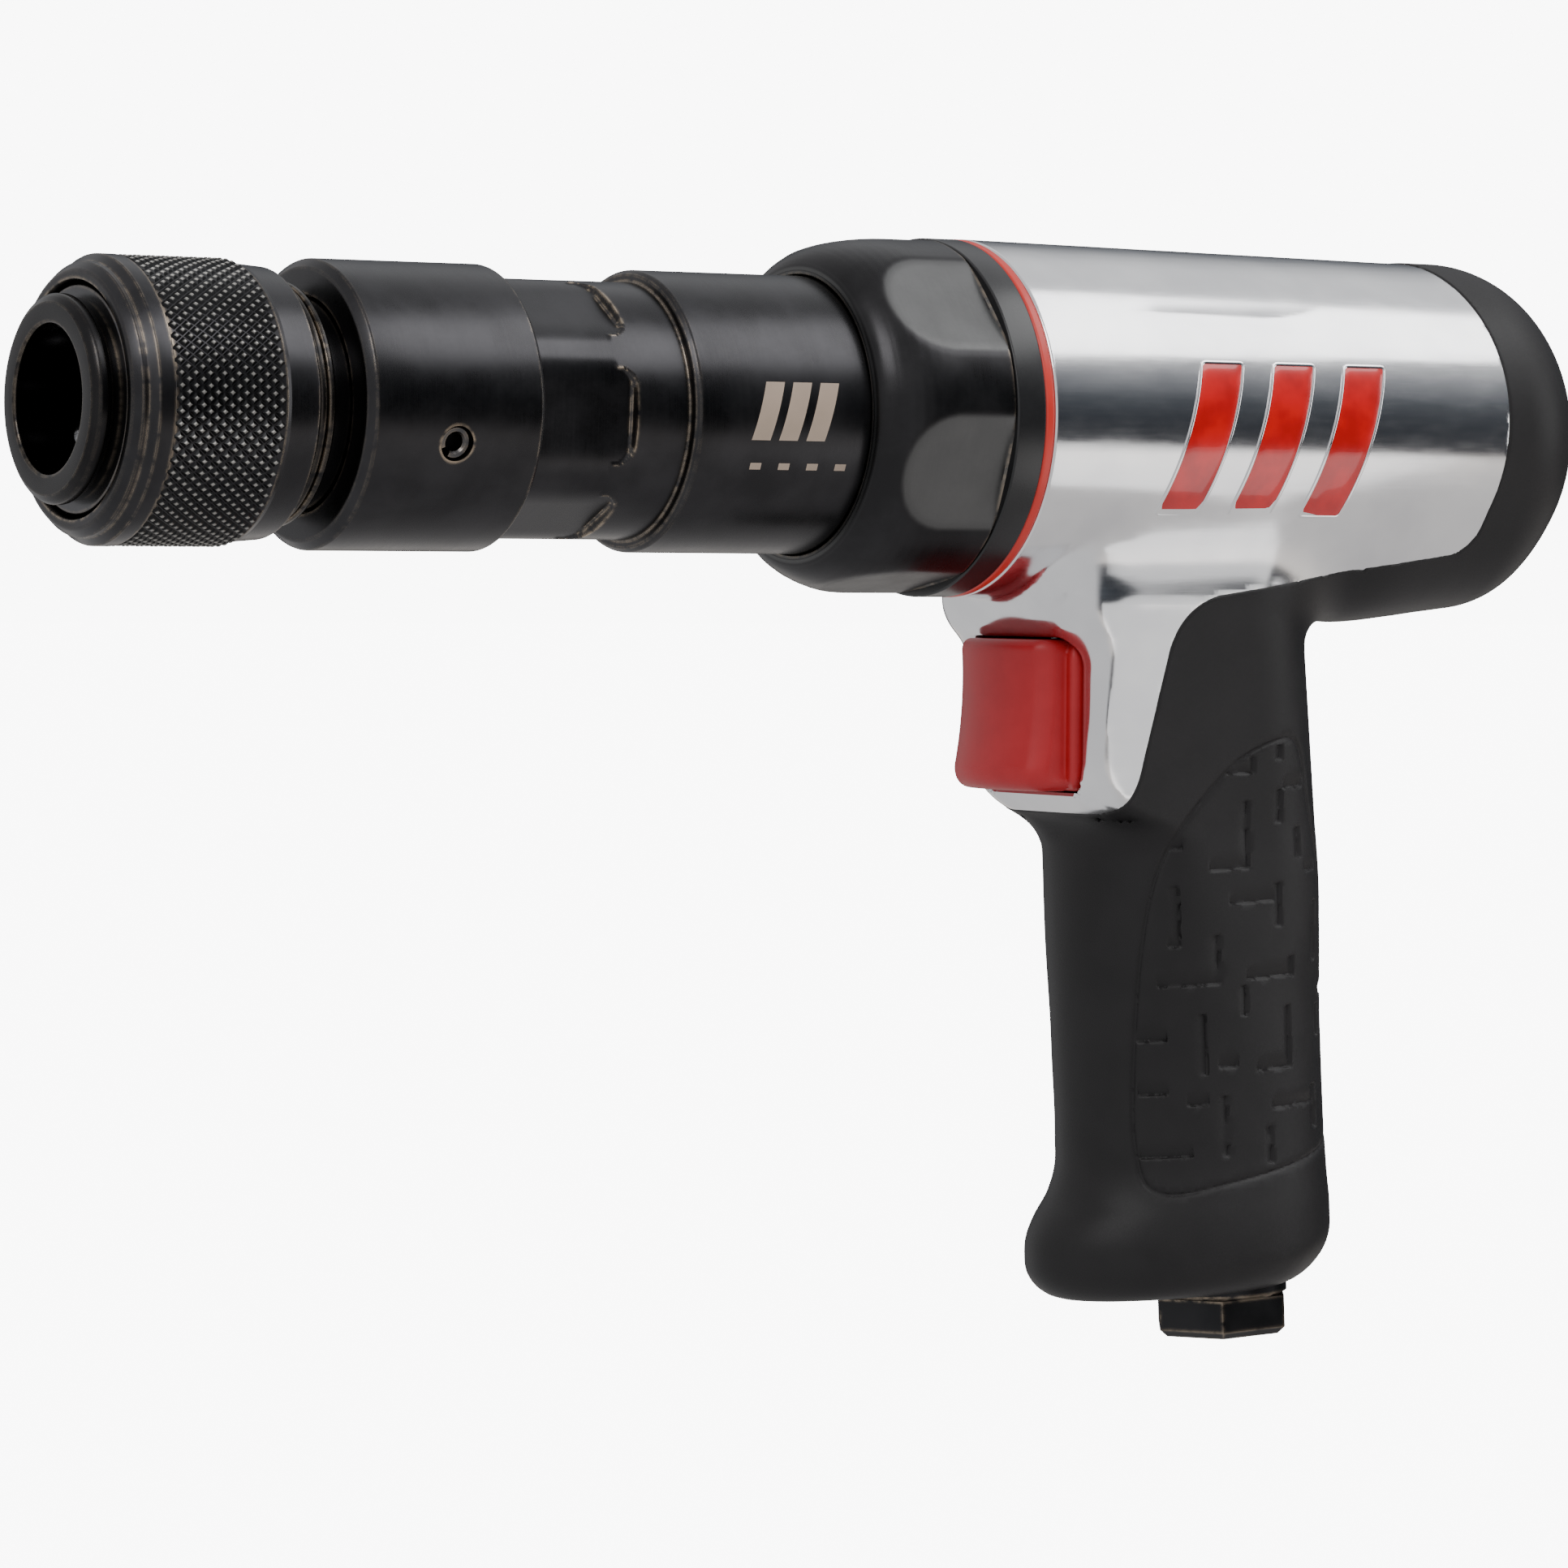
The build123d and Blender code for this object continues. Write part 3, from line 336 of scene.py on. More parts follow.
def polished_casting(name):
    """Polished aluminium with fine lengthwise polishing marks."""
    finish = Finish(name)
    marks = finish.noise(0.35, 3.0, (0.045, 1, 1))
    cloud = finish.noise(14.0, 3.0)
    dull = finish.noise(2.6, 4.0, (0.35, 1, 1))
    colour = finish.mix(cloud.ramp(0.3, 0.7), (0.80, 0.80, 0.815), (0.90, 0.90, 0.905))
    colour = finish.mix(finish.edges(0.3) * 0.5, colour, (0.97, 0.97, 0.97))
    rough = 0.14 + (marks - 0.5) * 0.08 + dull.ramp(0.35, 0.75) * 0.04
    relief = finish.bump(marks, 0.0011)
    return finish.surface(Base_Color=colour, Metallic=1.0, Roughness=rough, Normal=relief)


def soft_rubber(name, shade=(0.0100, 0.0092, 0.0098), roughness=0.5):
    """Soft matt rubber with a fine moulded grain."""
    finish = Finish(name)
    grain = finish.noise(0.22, 2.0)
    cloud = finish.noise(11.0, 3.0)
    pale = tuple(each * 1.7 for each in shade)
    colour = finish.mix(cloud.ramp(0.3, 0.7) * 0.5 + finish.edges(0.35) * 0.5, shade, pale)
    rough = roughness + (cloud - 0.5) * 0.1 + (grain - 0.5) * 0.12
    relief = finish.bump(grain, 0.012)
    return finish.surface(Base_Color=colour, Roughness=rough, Normal=relief, Specular_IOR_Level=0.3)


def moulded(name, shade, roughness):
    """Moulded plastic: even colour with a faint grain and paler edges."""
    finish = Finish(name)
    grain = finish.noise(0.3, 2.0)
    cloud = finish.noise(6.0, 3.0)
    pale = tuple(min(1.0, each * 1.25 + 0.008) for each in shade)
    colour = finish.mix(cloud.ramp(0.3, 0.7) * 0.4 + finish.edges(0.4) * 0.5, shade, pale)
    rough = roughness + (cloud - 0.5) * 0.08 + (grain - 0.5) * 0.06
    return finish.surface(Base_Color=colour, Roughness=rough, Normal=finish.bump(grain, 0.006))


def enamel(name, shade):
    """Poured glossy enamel that pools slightly."""
    finish = Finish(name)
    cloud = finish.noise(5.0, 2.0)
    deep = tuple(each * 0.72 for each in shade)
    colour = finish.mix(cloud.ramp(0.3, 0.7), deep, shade)
    rough = 0.16 + cloud * 0.08
    relief = finish.bump(cloud, 0.03)
    return finish.surface(Base_Color=colour, Roughness=rough, Normal=relief,
                          Coat_Weight=0.8, Coat_Roughness=0.05)


def machined(name, shade, roughness):
    """Machined metal with fine cutter marks and brighter edges."""
    finish = Finish(name)
    marks = finish.noise(0.2, 2.0, (1, 0.15, 0.15))
    cloud = finish.noise(4.0, 3.0)
    pale = tuple(min(1.0, each * 1.3 + 0.02) for each in shade)
    colour = finish.mix(cloud.ramp(0.3, 0.7) * 0.4 + finish.edges(0.2) * 0.5, shade, pale)
    rough = roughness + (marks - 0.5) * 0.12
    relief = finish.bump(marks, 0.002)
    return finish.surface(Base_Color=colour, Metallic=1.0, Roughness=rough, Normal=relief)


def felt(name, shade):
    """Pressed grey felt."""
    finish = Finish(name)
    fibre = finish.noise(0.25, 5.0, (1, 0.4, 1))
    pale = tuple(each * 1.5 for each in shade)
    colour = finish.mix(fibre.ramp(0.35, 0.65), shade, pale)
    return finish.surface(Base_Color=colour, Roughness=0.9 + fibre * 0.1, Normal=finish.bump(fibre, 0.15))


# The pale colour of the knurl's tips: worn steel, and a painted highlight as well.
WARM_STEEL_SHEEN = (0.34, 0.33, 0.31)
SATIN_STEEL = (0.10, 0.10, 0.10)
FINISHES = {
    "nose": black_oxide("nose_black", (0.03, 0.029, 0.03), 0.22, 0.6),
    "sleeve": black_oxide("sleeve_black", (0.05, 0.049, 0.052), 0.26, 0.8),
    # The knurl's tips are paler: worn steel, and a painted highlight on every tip.
    "knurl": black_oxide("knurl_black", (0.028, 0.028, 0.029), 0.3, 0.0, knurl_tips, WARM_STEEL_SHEEN),
    "collar": black_oxide("collar_black"),
    "barrel": black_oxide("barrel_black"),
    "nut": black_oxide("nut_black", (0.042, 0.041, 0.043), 0.28, 0.4, nut_flats, SATIN_STEEL),
    "black_ring": moulded("ring_black", (0.008, 0.008, 0.009), 0.3),
    "red_ring": moulded("ring_red", (0.62, 0.03, 0.02), 0.35),
    "housing": polished_casting("polished_casting"),
    "rubber": soft_rubber("soft_rubber"),
    "trigger": moulded("trigger_red", (0.42, 0.009, 0.014), 0.42),
    "spring": black_oxide("spring_black", (0.09, 0.09, 0.095), 0.25, 0.4),
    "enamel": enamel("red_enamel", (0.72, 0.004, 0.006)),
    "etched": moulded("etched_tan", (0.40, 0.31, 0.24), 0.5),
    "ground": machined("ground_steel", (0.58, 0.58, 0.6), 0.2),
    "valve": machined("valve_steel", (0.4, 0.4, 0.42), 0.3),
    "brass": machined("turned_brass", (0.72, 0.53, 0.25), 0.24),
    "nylon": moulded("nylon", (0.78, 0.76, 0.7), 0.45),
    "inlet": black_oxide("inlet_black", (0.035, 0.035, 0.037), 0.3, 0.6),
    "screen": machined("screen_steel", (0.5, 0.5, 0.52), 0.3),
    "felt": felt("grey_felt", (0.3, 0.3, 0.29)),
    "plastic": moulded("vent_black", (0.016, 0.016, 0.017), 0.5),
    "seal": soft_rubber("seal_rubber", (0.02, 0.02, 0.02), 0.55),
}
FINISH_OF_SLOT = {
    "black_steel": "collar", "spring_steel": "spring", "hardened_steel": "ground", "valve_steel": "valve",
    "black_ring": "black_ring", "red_ring": "red_ring", "seal_rubber": "seal", "grip_rubber": "rubber",
    "polished_aluminium": "housing", "trigger_red": "trigger", "badge_enamel": "enamel", "brass": "brass",
    "nylon": "nylon", "inlet_steel": "inlet", "screen_mesh": "screen", "felt": "felt",
    "black_plastic": "plastic",
}


# --- Mesh helpers ------------------------------------------------------------------------------------
def make_piece(name, points, faces, material, body="root", slot=None, crease=32):
    """A piece from points in millimetres, shaded smooth up to an angle."""
    mesh = bpy.data.meshes.new(name)
    places = (np.asarray(points, float) * MM).tolist()
    mesh.from_pydata(places, [], [list(map(int, face)) for face in faces])
    return finish_piece(name, mesh, material, body, crease)


def finish_piece(name, mesh, material, body, crease=32):
    """Gives a mesh its object, material, shading and body."""
    mesh.materials.clear()
    mesh.materials.append(material)
    mesh.polygons.foreach_set("use_smooth", [True] * len(mesh.polygons))
    mesh.set_sharp_from_angle(angle=radians(crease))
    thing = bpy.data.objects.new(name, mesh)
    bpy.context.collection.objects.link(thing)
    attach(thing, body)
    return thing


def round_profile(profile, step=12):
    """Rounds the corners of a closed profile of (distance, radius, corner radius) points.

    A corner takes one point for every step, in degrees.
    """
    count = len(profile)
    path = []
    for number, (distance, radius, corner) in enumerate(profile):
        here = np.array((distance, radius), float)
        before = np.array(profile[number - 1][:2], float) - here
        after = np.array(profile[(number + 1) % count][:2], float) - here
        span_before, span_after = np.hypot(*before), np.hypot(*after)
        before, after = before / span_before, after / span_after
        turn = np.arccos(np.clip(before @ after, -1, 1))
        bends = turn < pi - 0.02
        reach = min(corner / tan(turn / 2), span_before * 0.49, span_after * 0.49) if bends else 0
        if corner <= 0 or reach <= 0:
            path.append(here)
            continue
        size = reach * tan(turn / 2)
        middle = here + (before + after) / np.hypot(*(before + after)) * size / sin(turn / 2)
        start, end = here + before * reach - middle, here + after * reach - middle
        sweep = pi - turn
        steps = max(2, int(np.ceil(np.degrees(sweep) / step)))
        side = np.sign(start[0] * end[1] - start[1] * end[0])
        first = atan2(start[1], start[0])
        for share in range(steps + 1):
            angle = first + side * sweep * share / steps
            path.append(middle + size * np.array((cos(angle), sin(angle))))
    return np.array(path)


def spin_profile(path, around, shape=None):
    """Turns a closed path about the barrel axis. A shape may press flats into it."""
    angles = np.arange(around) * 2 * pi / around
    rows = len(path)
    distance = np.repeat(path[:, 0], around)
    radius = np.repeat(path[:, 1], around)
    angle = np.tile(angles, rows)
    if shape:
        radius = shape(distance, angle, radius)
    points = np.column_stack((-distance, radius * np.cos(angle), radius * np.sin(angle)))
    row = np.arange(rows)[:, None] * around
    next_row = (np.arange(rows)[:, None] + 1) % rows * around
    column = np.arange(around)[None, :]
    next_column = (column + 1) % around
    faces = np.stack((row + column, row + next_column, next_row + next_column, next_row + column), -1)
    return points, outward(points, faces.reshape(-1, 4))


def outward(points, faces):
    """Turns all the faces over if the closed shape they make is inside out."""
    first, second, third = (points[faces[:, corner]] for corner in range(3))
    fourth = points[faces[:, 3]]
    across = np.cross(second, third) + np.cross(third, fourth)
    volume = np.einsum("ij,ij->", first, across)
    return faces if volume > 0 else faces[:, ::-1]


def thicken_rows(path, start, end, step):
    """Adds points to the outer run of a path between two distances, so that flats come out crisp."""
    result = []
    for number, here in enumerate(path):
        result.append(here)
        there = path[(number + 1) % len(path)]
        low, high = sorted((here[0], there[0]))
        outer = min(here[1], there[1]) > 18
        if outer and low >= start - 0.01 and high <= end + 0.01:
            pieces = max(1, int(np.hypot(*(there - here)) / step))
            result += [here + (there - here) * share / pieces for share in range(1, pieces)]
    return np.array(result)


def turned(name, profile, material, slot, body="root", around=160, shape=None, rows=None):
    """A turned piece that stands for the CAD node of the same name."""
    path = round_profile(profile)
    if rows:
        path = thicken_rows(path, *rows)
    points, faces = spin_profile(path, around, shape)
    thing = make_piece("turned_" + name, points, faces, material, body, slot)
    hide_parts(name)
    return thing


def soft_min(first, second, size):
    """The lesser of two lengths, with the step between them rounded."""
    overlap = np.maximum(size - np.abs(first - second), 0) / size
    return np.minimum(first, second) - overlap * overlap * size / 4


def with_flats(start, end, at, first_angle, rounding, rear_corner=0.0):
    """Mills six flats into a turned shape between two distances, their rear corners rounded."""
    def shape(distance, angle, radius):
        turn = np.mod(angle - radians(first_angle) + pi / 6, pi / 3) - pi / 6
        half = np.sqrt(np.maximum(radius ** 2 - at ** 2, 0.01))
        past = np.clip(at * np.abs(np.tan(turn)) - (half - rear_corner), 0, rear_corner)
        end_here = end - rear_corner + np.sqrt(rear_corner ** 2 - past ** 2)
        past_start = smooth_step(distance, start - 0.2, start + 0.2)
        share = past_start * smooth_step(-distance, -end_here - 0.25, 0.25 - end_here)
        milled = soft_min(radius, at / np.cos(turn), rounding)
        return np.where(radius > at - 3.2, radius + (milled - radius) * share, radius)
    return shape


# --- Blended shapes: a distance function, skinned with small quads -----------------------------------
COARSE = 4      # cells of the fine grid in one of the rough grid, each way


def corner(first, second, radius):
    """The overlap of two shapes, with its outer edge rounded."""
    reach = np.hypot(np.maximum(first + radius, 0), np.maximum(second + radius, 0))
    return np.minimum(np.maximum(first, second), -radius) + reach


def join(first, second, radius):
    """Two shapes together, with the corner between them filled."""
    return -corner(-first, -second, radius)


def grid_distance(distance, axes):
    """The distance at every point of a grid, worked out closely only near the surface."""
    rough_axes = [axis[::COARSE] for axis in axes]
    values = distance(*np.meshgrid(*rough_axes, indexing="ij"))
    for number, axis in enumerate(axes):
        values = np.repeat(values, COARSE, axis=number)
        values = np.take(values, np.arange(len(axis)), axis=number)
    pitch = axes[0][1] - axes[0][0]
    near = np.abs(values) < pitch * COARSE * 2.2
    spots = np.nonzero(near)
    values[near] = distance(*(axis[spot] for axis, spot in zip(axes, spots)))
    return values


def skin(distance, low, high, pitch):
    """Points and quads of the surface where a distance function is zero."""
    axes = [np.arange(start, end + 5 * pitch, pitch) for start, end in zip(low, high)]
    axes = [axis[:(len(axis) - 1) // COARSE * COARSE + 1] for axis in axes]
    values = grid_distance(distance, axes)
    inside = values < 0
    shape = np.array(values.shape) - 1
    crossings = np.zeros(shape)
    offsets = np.zeros((*shape, 3))
    corners = [(i, j, k) for i in (0, 1) for j in (0, 1) for k in (0, 1)]

    def cut(block, at):
        return block[at[0]:at[0] + shape[0], at[1]:at[1] + shape[1], at[2]:at[2] + shape[2]]

    for first in corners:
        for axis in range(3):
            if first[axis]:
                continue
            second = tuple(value + (number == axis) for number, value in enumerate(first))
            start, end = cut(values, first), cut(values, second)
            crosses = (start < 0) != (end < 0)
            share = np.where(crosses, start / np.where(crosses, start - end, 1), 0)
            for number in range(3):
                here = first[number] + (share if number == axis else 0)
                offsets[..., number] += np.where(crosses, here, 0)
            crossings += crosses
    cells = np.nonzero(crossings)
    number_of = np.full(shape, -1)
    number_of[cells] = np.arange(len(cells[0]))
    mean = offsets[cells] / crossings[cells][:, None]
    points = np.column_stack([axis[0] + (cell + mean[:, number]) * pitch
                              for number, (axis, cell) in enumerate(zip(axes, cells))])
    faces = []
    for axis in range(3):
        after, last = (axis + 1) % 3, (axis + 2) % 3
        here = [slice(1, -1)] * 3
        there = [slice(1, -1)] * 3
        here[axis], there[axis] = slice(0, -1), slice(1, None)
        start, end = inside[tuple(here)], inside[tuple(there)]
        spots = [spot + (number != axis) for number, spot in enumerate(np.nonzero(start != end))]
        rising = start[start != end]
        ring = []
        for step_after, step_last in ((-1, -1), (0, -1), (0, 0), (-1, 0)):
            where = list(spots)
            where[after] = where[after] + step_after
            where[last] = where[last] + step_last
            ring.append(number_of[tuple(where)])
        quads = np.stack(ring, -1)
        faces.append(np.where(rising[:, None], quads, quads[:, ::-1]))
    return settle(distance, points), np.concatenate(faces)


def settle(distance, points, rounds=4, reach=0.6):
    """Moves points onto the surface where a distance function is zero."""
    points = points.copy()
    for _ in range(rounds):
        slope = gradient(distance, points)
        value = distance(*points.T)
        move = value / np.maximum((slope ** 2).sum(1), 0.2)
        points -= np.clip(move, -reach, reach)[:, None] * slope
    return points


def gradient(distance, points, step=0.02):
    """Which way a distance function rises, at each point."""
    columns = []
    for axis in range(3):
        shift = np.zeros(3)
        shift[axis] = step
        columns.append((distance(*(points + shift).T) - distance(*(points - shift).T)) / (2 * step))
    return np.stack(columns, -1)


def refine(distance, points, faces, near, rounds=1):
    """Divides the faces near a detail, so that the detail comes out crisp."""
    for _ in range(rounds):
        work = bmesh.new()
        places = [work.verts.new(point) for point in points]
        for face in faces:
            work.faces.new([places[number] for number in face])
        work.verts.index_update()
        close = near(points)
        edges = [edge for edge in work.edges if close[edge.verts[0].index] and close[edge.verts[1].index]]
        bmesh.ops.subdivide_edges(work, edges=edges, cuts=1, use_grid_fill=True)
        work.verts.index_update()
        points = settle(distance, np.array([vert.co[:] for vert in work.verts]), 2)
        faces = [[vert.index for vert in face.verts] for face in work.faces]
        work.free()
    return points, faces


# --- The casing's outside ----------------------------------------------------------------------------
def through(stations, values, at):
    """A smooth curve through a few values."""
    slopes = np.gradient(values, stations)
    at = np.clip(at, stations[0], stations[-1])
    index = np.clip(np.searchsorted(stations, at, side="right") - 1, 0, len(stations) - 2)
    width = np.take(np.diff(stations), index)
    share = (at - np.take(stations, index)) / width
    start, end = np.take(values, index), np.take(values, index + 1)
    rise, fall = np.take(slopes, index) * width, np.take(slopes, index + 1) * width
    squared, cubed = share ** 2, share ** 3
    return ((2 * cubed - 3 * squared + 1) * start + (cubed - 2 * squared + share) * rise
            + (3 * squared - 2 * cubed) * end + (cubed - squared) * fall)


def smooth_step(value, low, high):
    """Rises smoothly from 0 to 1 between two values."""
    share = np.clip((value - low) / (high - low), 0, 1)
    return share * share * (3 - 2 * share)


def housing_radius(x):
    """The housing tapers a little towards its rear."""
    share = np.clip((-x - HOUSING_FRONT) / (CAP_EDGE - HOUSING_FRONT), 0, 1)
    return HOUSING_FRONT_R + (HOUSING_REAR_R - HOUSING_FRONT_R) * share


def oval(ahead, side, half_depth, half_width):
    """Distance to an oval section."""
    out = np.hypot(ahead / half_depth, side / half_width)
    steep = np.hypot(ahead / half_depth ** 2, side / half_width ** 2)
    return out * (out - 1) / np.maximum(steep, 1e-6)


def grip_frame(x, z):
    """Height above the foot and place ahead of the handle's axis."""
    height = (x - FOOT[0]) * UP[0] + (z - FOOT[2]) * UP[2]
    ahead = (x - FOOT[0]) * FORWARD[0] + (z - FOOT[2]) * FORWARD[2]
    return height, ahead


# Height above the foot, centre ahead of the axis, and what the section adds to half depth and width.
GRIP_HEIGHTS = np.array((0.0, 5.0, 10.0, 13.0, 16.5, 20.5, 26.0, 40.0, 60.0, 95.0))
GRIP_AHEAD = np.array((3.2, 3.2, 2.9, 2.1, 0.9, 0.15, 0.0, 0.1, 0.3, 0.3))
GRIP_DEEPER = np.array((3.5, 3.6, 3.4, 2.6, 1.1, 0.2, 0.0, 0.0, -0.1, -0.3))
GRIP_WIDER = np.array((1.5, 1.6, 1.5, 1.2, 0.7, 0.2, 0.0, 0.0, 0.0, -0.4))


def lower_handle(x, y, z):
    """The oval handle and its flared foot."""
    height, ahead = grip_frame(x, z)
    half_depth = GRIP_HALF_DEPTH + through(GRIP_HEIGHTS, GRIP_DEEPER, height)
    half_width = GRIP_HALF_WIDTH + through(GRIP_HEIGHTS, GRIP_WIDER, height)
    side = oval(ahead - through(GRIP_HEIGHTS, GRIP_AHEAD, height), y, half_depth, half_width)
    return corner(side, -height, 6.0 + 3.0 * smooth_step(-ahead, 5.0, 20.0))


# Front of the upper handle by height: the rubber, the lip under the trigger, the opening, the chin.
FRONT_HEIGHTS = np.array((-80.0, -72.0, -68.5, -66.5, -65.0, -63.0, -61.5, -60.0,
                          -50.0, -35.0, -32.0, -26.0))
FRONT_PLACES = np.array((-184.4, -184.2, -184.0, -184.0, -183.4, -181.0, -179.2, -177.6,
                         -174.4, -173.6, -171.8, -171.2))


def upper_handle(x, y, z):
    """The block that joins the handle to the cylinder: square shouldered in front, round behind."""
    front = through(FRONT_HEIGHTS, FRONT_PLACES, z)
    rear = UPPER_REAR + 0.115 * (z + 48)
    flare = 3.3 * np.clip((z + 66.0) / 31.0, 0, 1.2) * smooth_step(-z, 14.0, 30.0)
    half_width = UPPER_HALF_WIDTH + np.clip(-0.01 * (z + 60), 0, 0.3) + flare
    shoulder = 17.0 - 11.0 * smooth_step(z, -70.0, -61.5)
    ahead, aside = x - (front - shoulder), np.abs(y) - (half_width - shoulder)
    outer = np.hypot(np.maximum(ahead, 0), np.maximum(aside, 0))
    before = outer + np.minimum(np.maximum(ahead, aside), 0) - shoulder
    behind = np.hypot(np.minimum(x - rear - half_width, 0), y) - half_width
    return np.where(x > -205.0, before, behind)


# The keel of rubber under the rear of the cylinder: how much deeper the cylinder is there, by distance.
KEEL_DISTANCES = np.array((196.0, 205.0, 222.0, 238.0, 247.0, 254.0, 262.0, 270.0, 277.0))
KEEL_DEPTHS = np.array((0.0, 0.0, 2.0, 4.7, 4.1, 3.4, 2.6, 2.0, 1.5))


def cylinder(x, y, z):
    """The round part of the casing, with its keel and its domed rear end."""
    level = z + through(KEEL_DISTANCES, KEEL_DEPTHS, -x) * smooth_step(-z, 14.0, 32.0)
    out = np.hypot(y, level)
    dome = 17.0 + 2.0 * level / np.maximum(out, 1.0)
    return corner(corner(out - housing_radius(x), -x - REAR_END, dome), x + HOUSING_FRONT, 0.5)


def opening(x, y, z):
    """The gap in front of the trigger surround, below the chin."""
    middle, half = (TRIGGER_TOP + TRIGGER_BOTTOM) / 2, (TRIGGER_TOP - TRIGGER_BOTTOM) / 2 + 0.3
    return corner(OPENING_FACE - x, np.abs(z - middle) - half, 5.0)


def pocket(x, y, z):
    """The pocket that the back of the trigger slides in."""
    middle, half = (TRIGGER_TOP + TRIGGER_BOTTOM) / 2, (TRIGGER_TOP - TRIGGER_BOTTOM) / 2 + 0.35
    section = corner(np.abs(y) - POCKET_HALF_WIDTH, np.abs(z - middle) - half, 3.0)
    return np.maximum(section, POCKET_REAR - x)


def casing(x, y, z):
    """The outside of the metal and the rubber together."""
    share = smooth_step(z, -100.0, -67.0)
    handle = lower_handle(x, y, z) * (1 - share) + upper_handle(x, y, z) * share
    fillet = 2.5 + 6.5 * smooth_step(-x, 164.0, 186.0)
    whole = join(cylinder(x, y, z), np.maximum(handle, z - 10), fillet)
    return np.maximum(whole, x + HOUSING_FRONT)


def fillet_path(points):
    """A path of (x, z, radius) points with its corners rounded, as many short runs."""
    path = []
    for number, (x, z, radius) in enumerate(points):
        here = np.array((x, z), float)
        if radius == 0:
            path.append(here)
            continue
        before = np.array(points[number - 1][:2]) - here
        after = np.array(points[number + 1][:2]) - here
        before, after = before / np.hypot(*before), after / np.hypot(*after)
        turn = np.arccos(np.clip(before @ after, -1, 1))
        reach = radius / tan(turn / 2)
        middle = here + (before + after) / np.hypot(*(before + after)) * radius / sin(turn / 2)
        start, end = here + before * reach - middle, here + after * reach - middle
        for share in np.linspace(0, 1, 14):
            blend = start * sin((1 - share) * (pi - turn)) + end * sin(share * (pi - turn))
            path.append(middle + blend / sin(pi - turn))
    return np.array(path)


def shallow_arc(start, end, bulge, count=16):
    """A shallow curve between two points that stands out by a bulge at its middle."""
    start, end = np.array(start, float), np.array(end, float)
    run = end - start
    across = np.array((-run[1], run[0])) / np.hypot(*run)
    shares = np.linspace(0, 1, count)[:, None]
    return start + run * shares + across * bulge * 4 * shares * (1 - shares)


# The rubber's edge in side view: down the rear of the cylinder, forward under it, down the handle.
REAR_EDGE = shallow_arc((-248.6, 36), (-252.7, -14), -3.0)
RUBBER_EDGE = np.concatenate((REAR_EDGE, fillet_path([
    (-252.7, -14, 0), (-252.4, -20.6, 5), (-192, -29, 12), (-184.7, -65.3, 10), (-150, -63.6, 0)])[1:]))


class Outline:
    """Signed distance to a flat path: positive to the left of its direction."""

    def __init__(self, path, low, high, pitch=0.5):
        self.low, self.pitch = np.array(low, float), pitch
        axes = [np.arange(start, end, pitch) for start, end in zip(low, high)]
        across, up = np.meshgrid(*axes, indexing="ij")
        nearest = np.full(across.shape, 1e9)
        sign = np.ones(across.shape)
        for start, end in zip(path[:-1], path[1:]):
            run = end - start
            share = np.clip(((across - start[0]) * run[0] + (up - start[1]) * run[1]) / (run @ run), 0, 1)
            gap_across, gap_up = across - start[0] - share * run[0], up - start[1] - share * run[1]
            gap = np.hypot(gap_across, gap_up)
            closer = gap < nearest - 1e-9
            sign = np.where(closer, np.sign(run[0] * gap_up - run[1] * gap_across), sign)
            nearest = np.minimum(nearest, gap)
        self.table = nearest * sign

    def __call__(self, across, up):
        """The distance at each place, read between the table's values."""
        places = []
        for number, value in enumerate((across, up)):
            place = np.clip((value - self.low[number]) / self.pitch, 0, self.table.shape[number] - 1.001)
            places.append((place.astype(int), place - place.astype(int)))
        (column, right), (row, above) = places
        table = self.table
        low = table[column, row] * (1 - right) + table[column + 1, row] * right
        high = table[column, row + 1] * (1 - right) + table[column + 1, row + 1] * right
        return low * (1 - above) + high * above


# How far inside the rubber's region a point is, in side view, by its x and z.
rubber_side = Outline(RUBBER_EDGE[::-1], (-282, -152), (-145, 37))


# --- The tread on the grip ---------------------------------------------------------------------------
# Places on the handle: "wrap" is the way around it in millimetres, forwards from the middle of its side,
# and "height" is measured up from the foot.
WRAP_RADIUS = 21.0
PAD_CORNERS = [(-9.5, 90.4), (1.5, 87.2), (10.5, 80.2), (17.0, 70.5), (20.2, 57), (22.0, 40), (22.2, 24.5),
               (18.5, 17.6), (5.5, 18.5), (-19, 21.6), (-27.5, 25.5), (-28.8, 40), (-24.5, 60), (-17.5, 78),
               (-14.2, 87.5)]
# Upright treads: wrap, top, bottom. Level treads: height, rear end, front end.
UPRIGHT_TREADS = [
    (-1.5, 80.5, 69.5), (-9.3, 82, 76.5), (-14, 75.5, 70.5), (-8.8, 66.7, 59.6), (13.8, 67.5, 57.5),
    (6.3, 59, 51), (-19.3, 63, 53), (-12, 54.5, 51.3), (0.3, 50.5, 45.5), (9.5, 46.3, 36.4),
    (-11, 46.5, 36.2), (5.5, 32.7, 22.8), (-18.8, 32.7, 25.5), (-5, 27, 21), (-21.4, 45.7, 40.4),
    (-2.5, 87.7, 85), (-8.8, 89.3, 86.9), (-25.5, 38, 30), (-23.5, 56, 49)]
LEVEL_TREADS = [
    (69.5, -1.5, 8), (82, -14.6, -9.3), (68, -18.7, -14.9), (63.8, -7.5, 3.7), (57.5, 13.8, 16),
    (51, 6.3, 18), (51.3, -12, 0.3), (37.2, 3, 7.3), (36.2, -11, -1.6), (42.3, 16.7, 21.5),
    (33.5, 16.8, 21.5), (31.4, 9.5, 13.6), (29.7, -18.8, -5.6), (23.2, 12.9, 21.5), (85, -2.5, 5.2),
    (73.4, 13, 15.5), (47, -27, -21.4)]


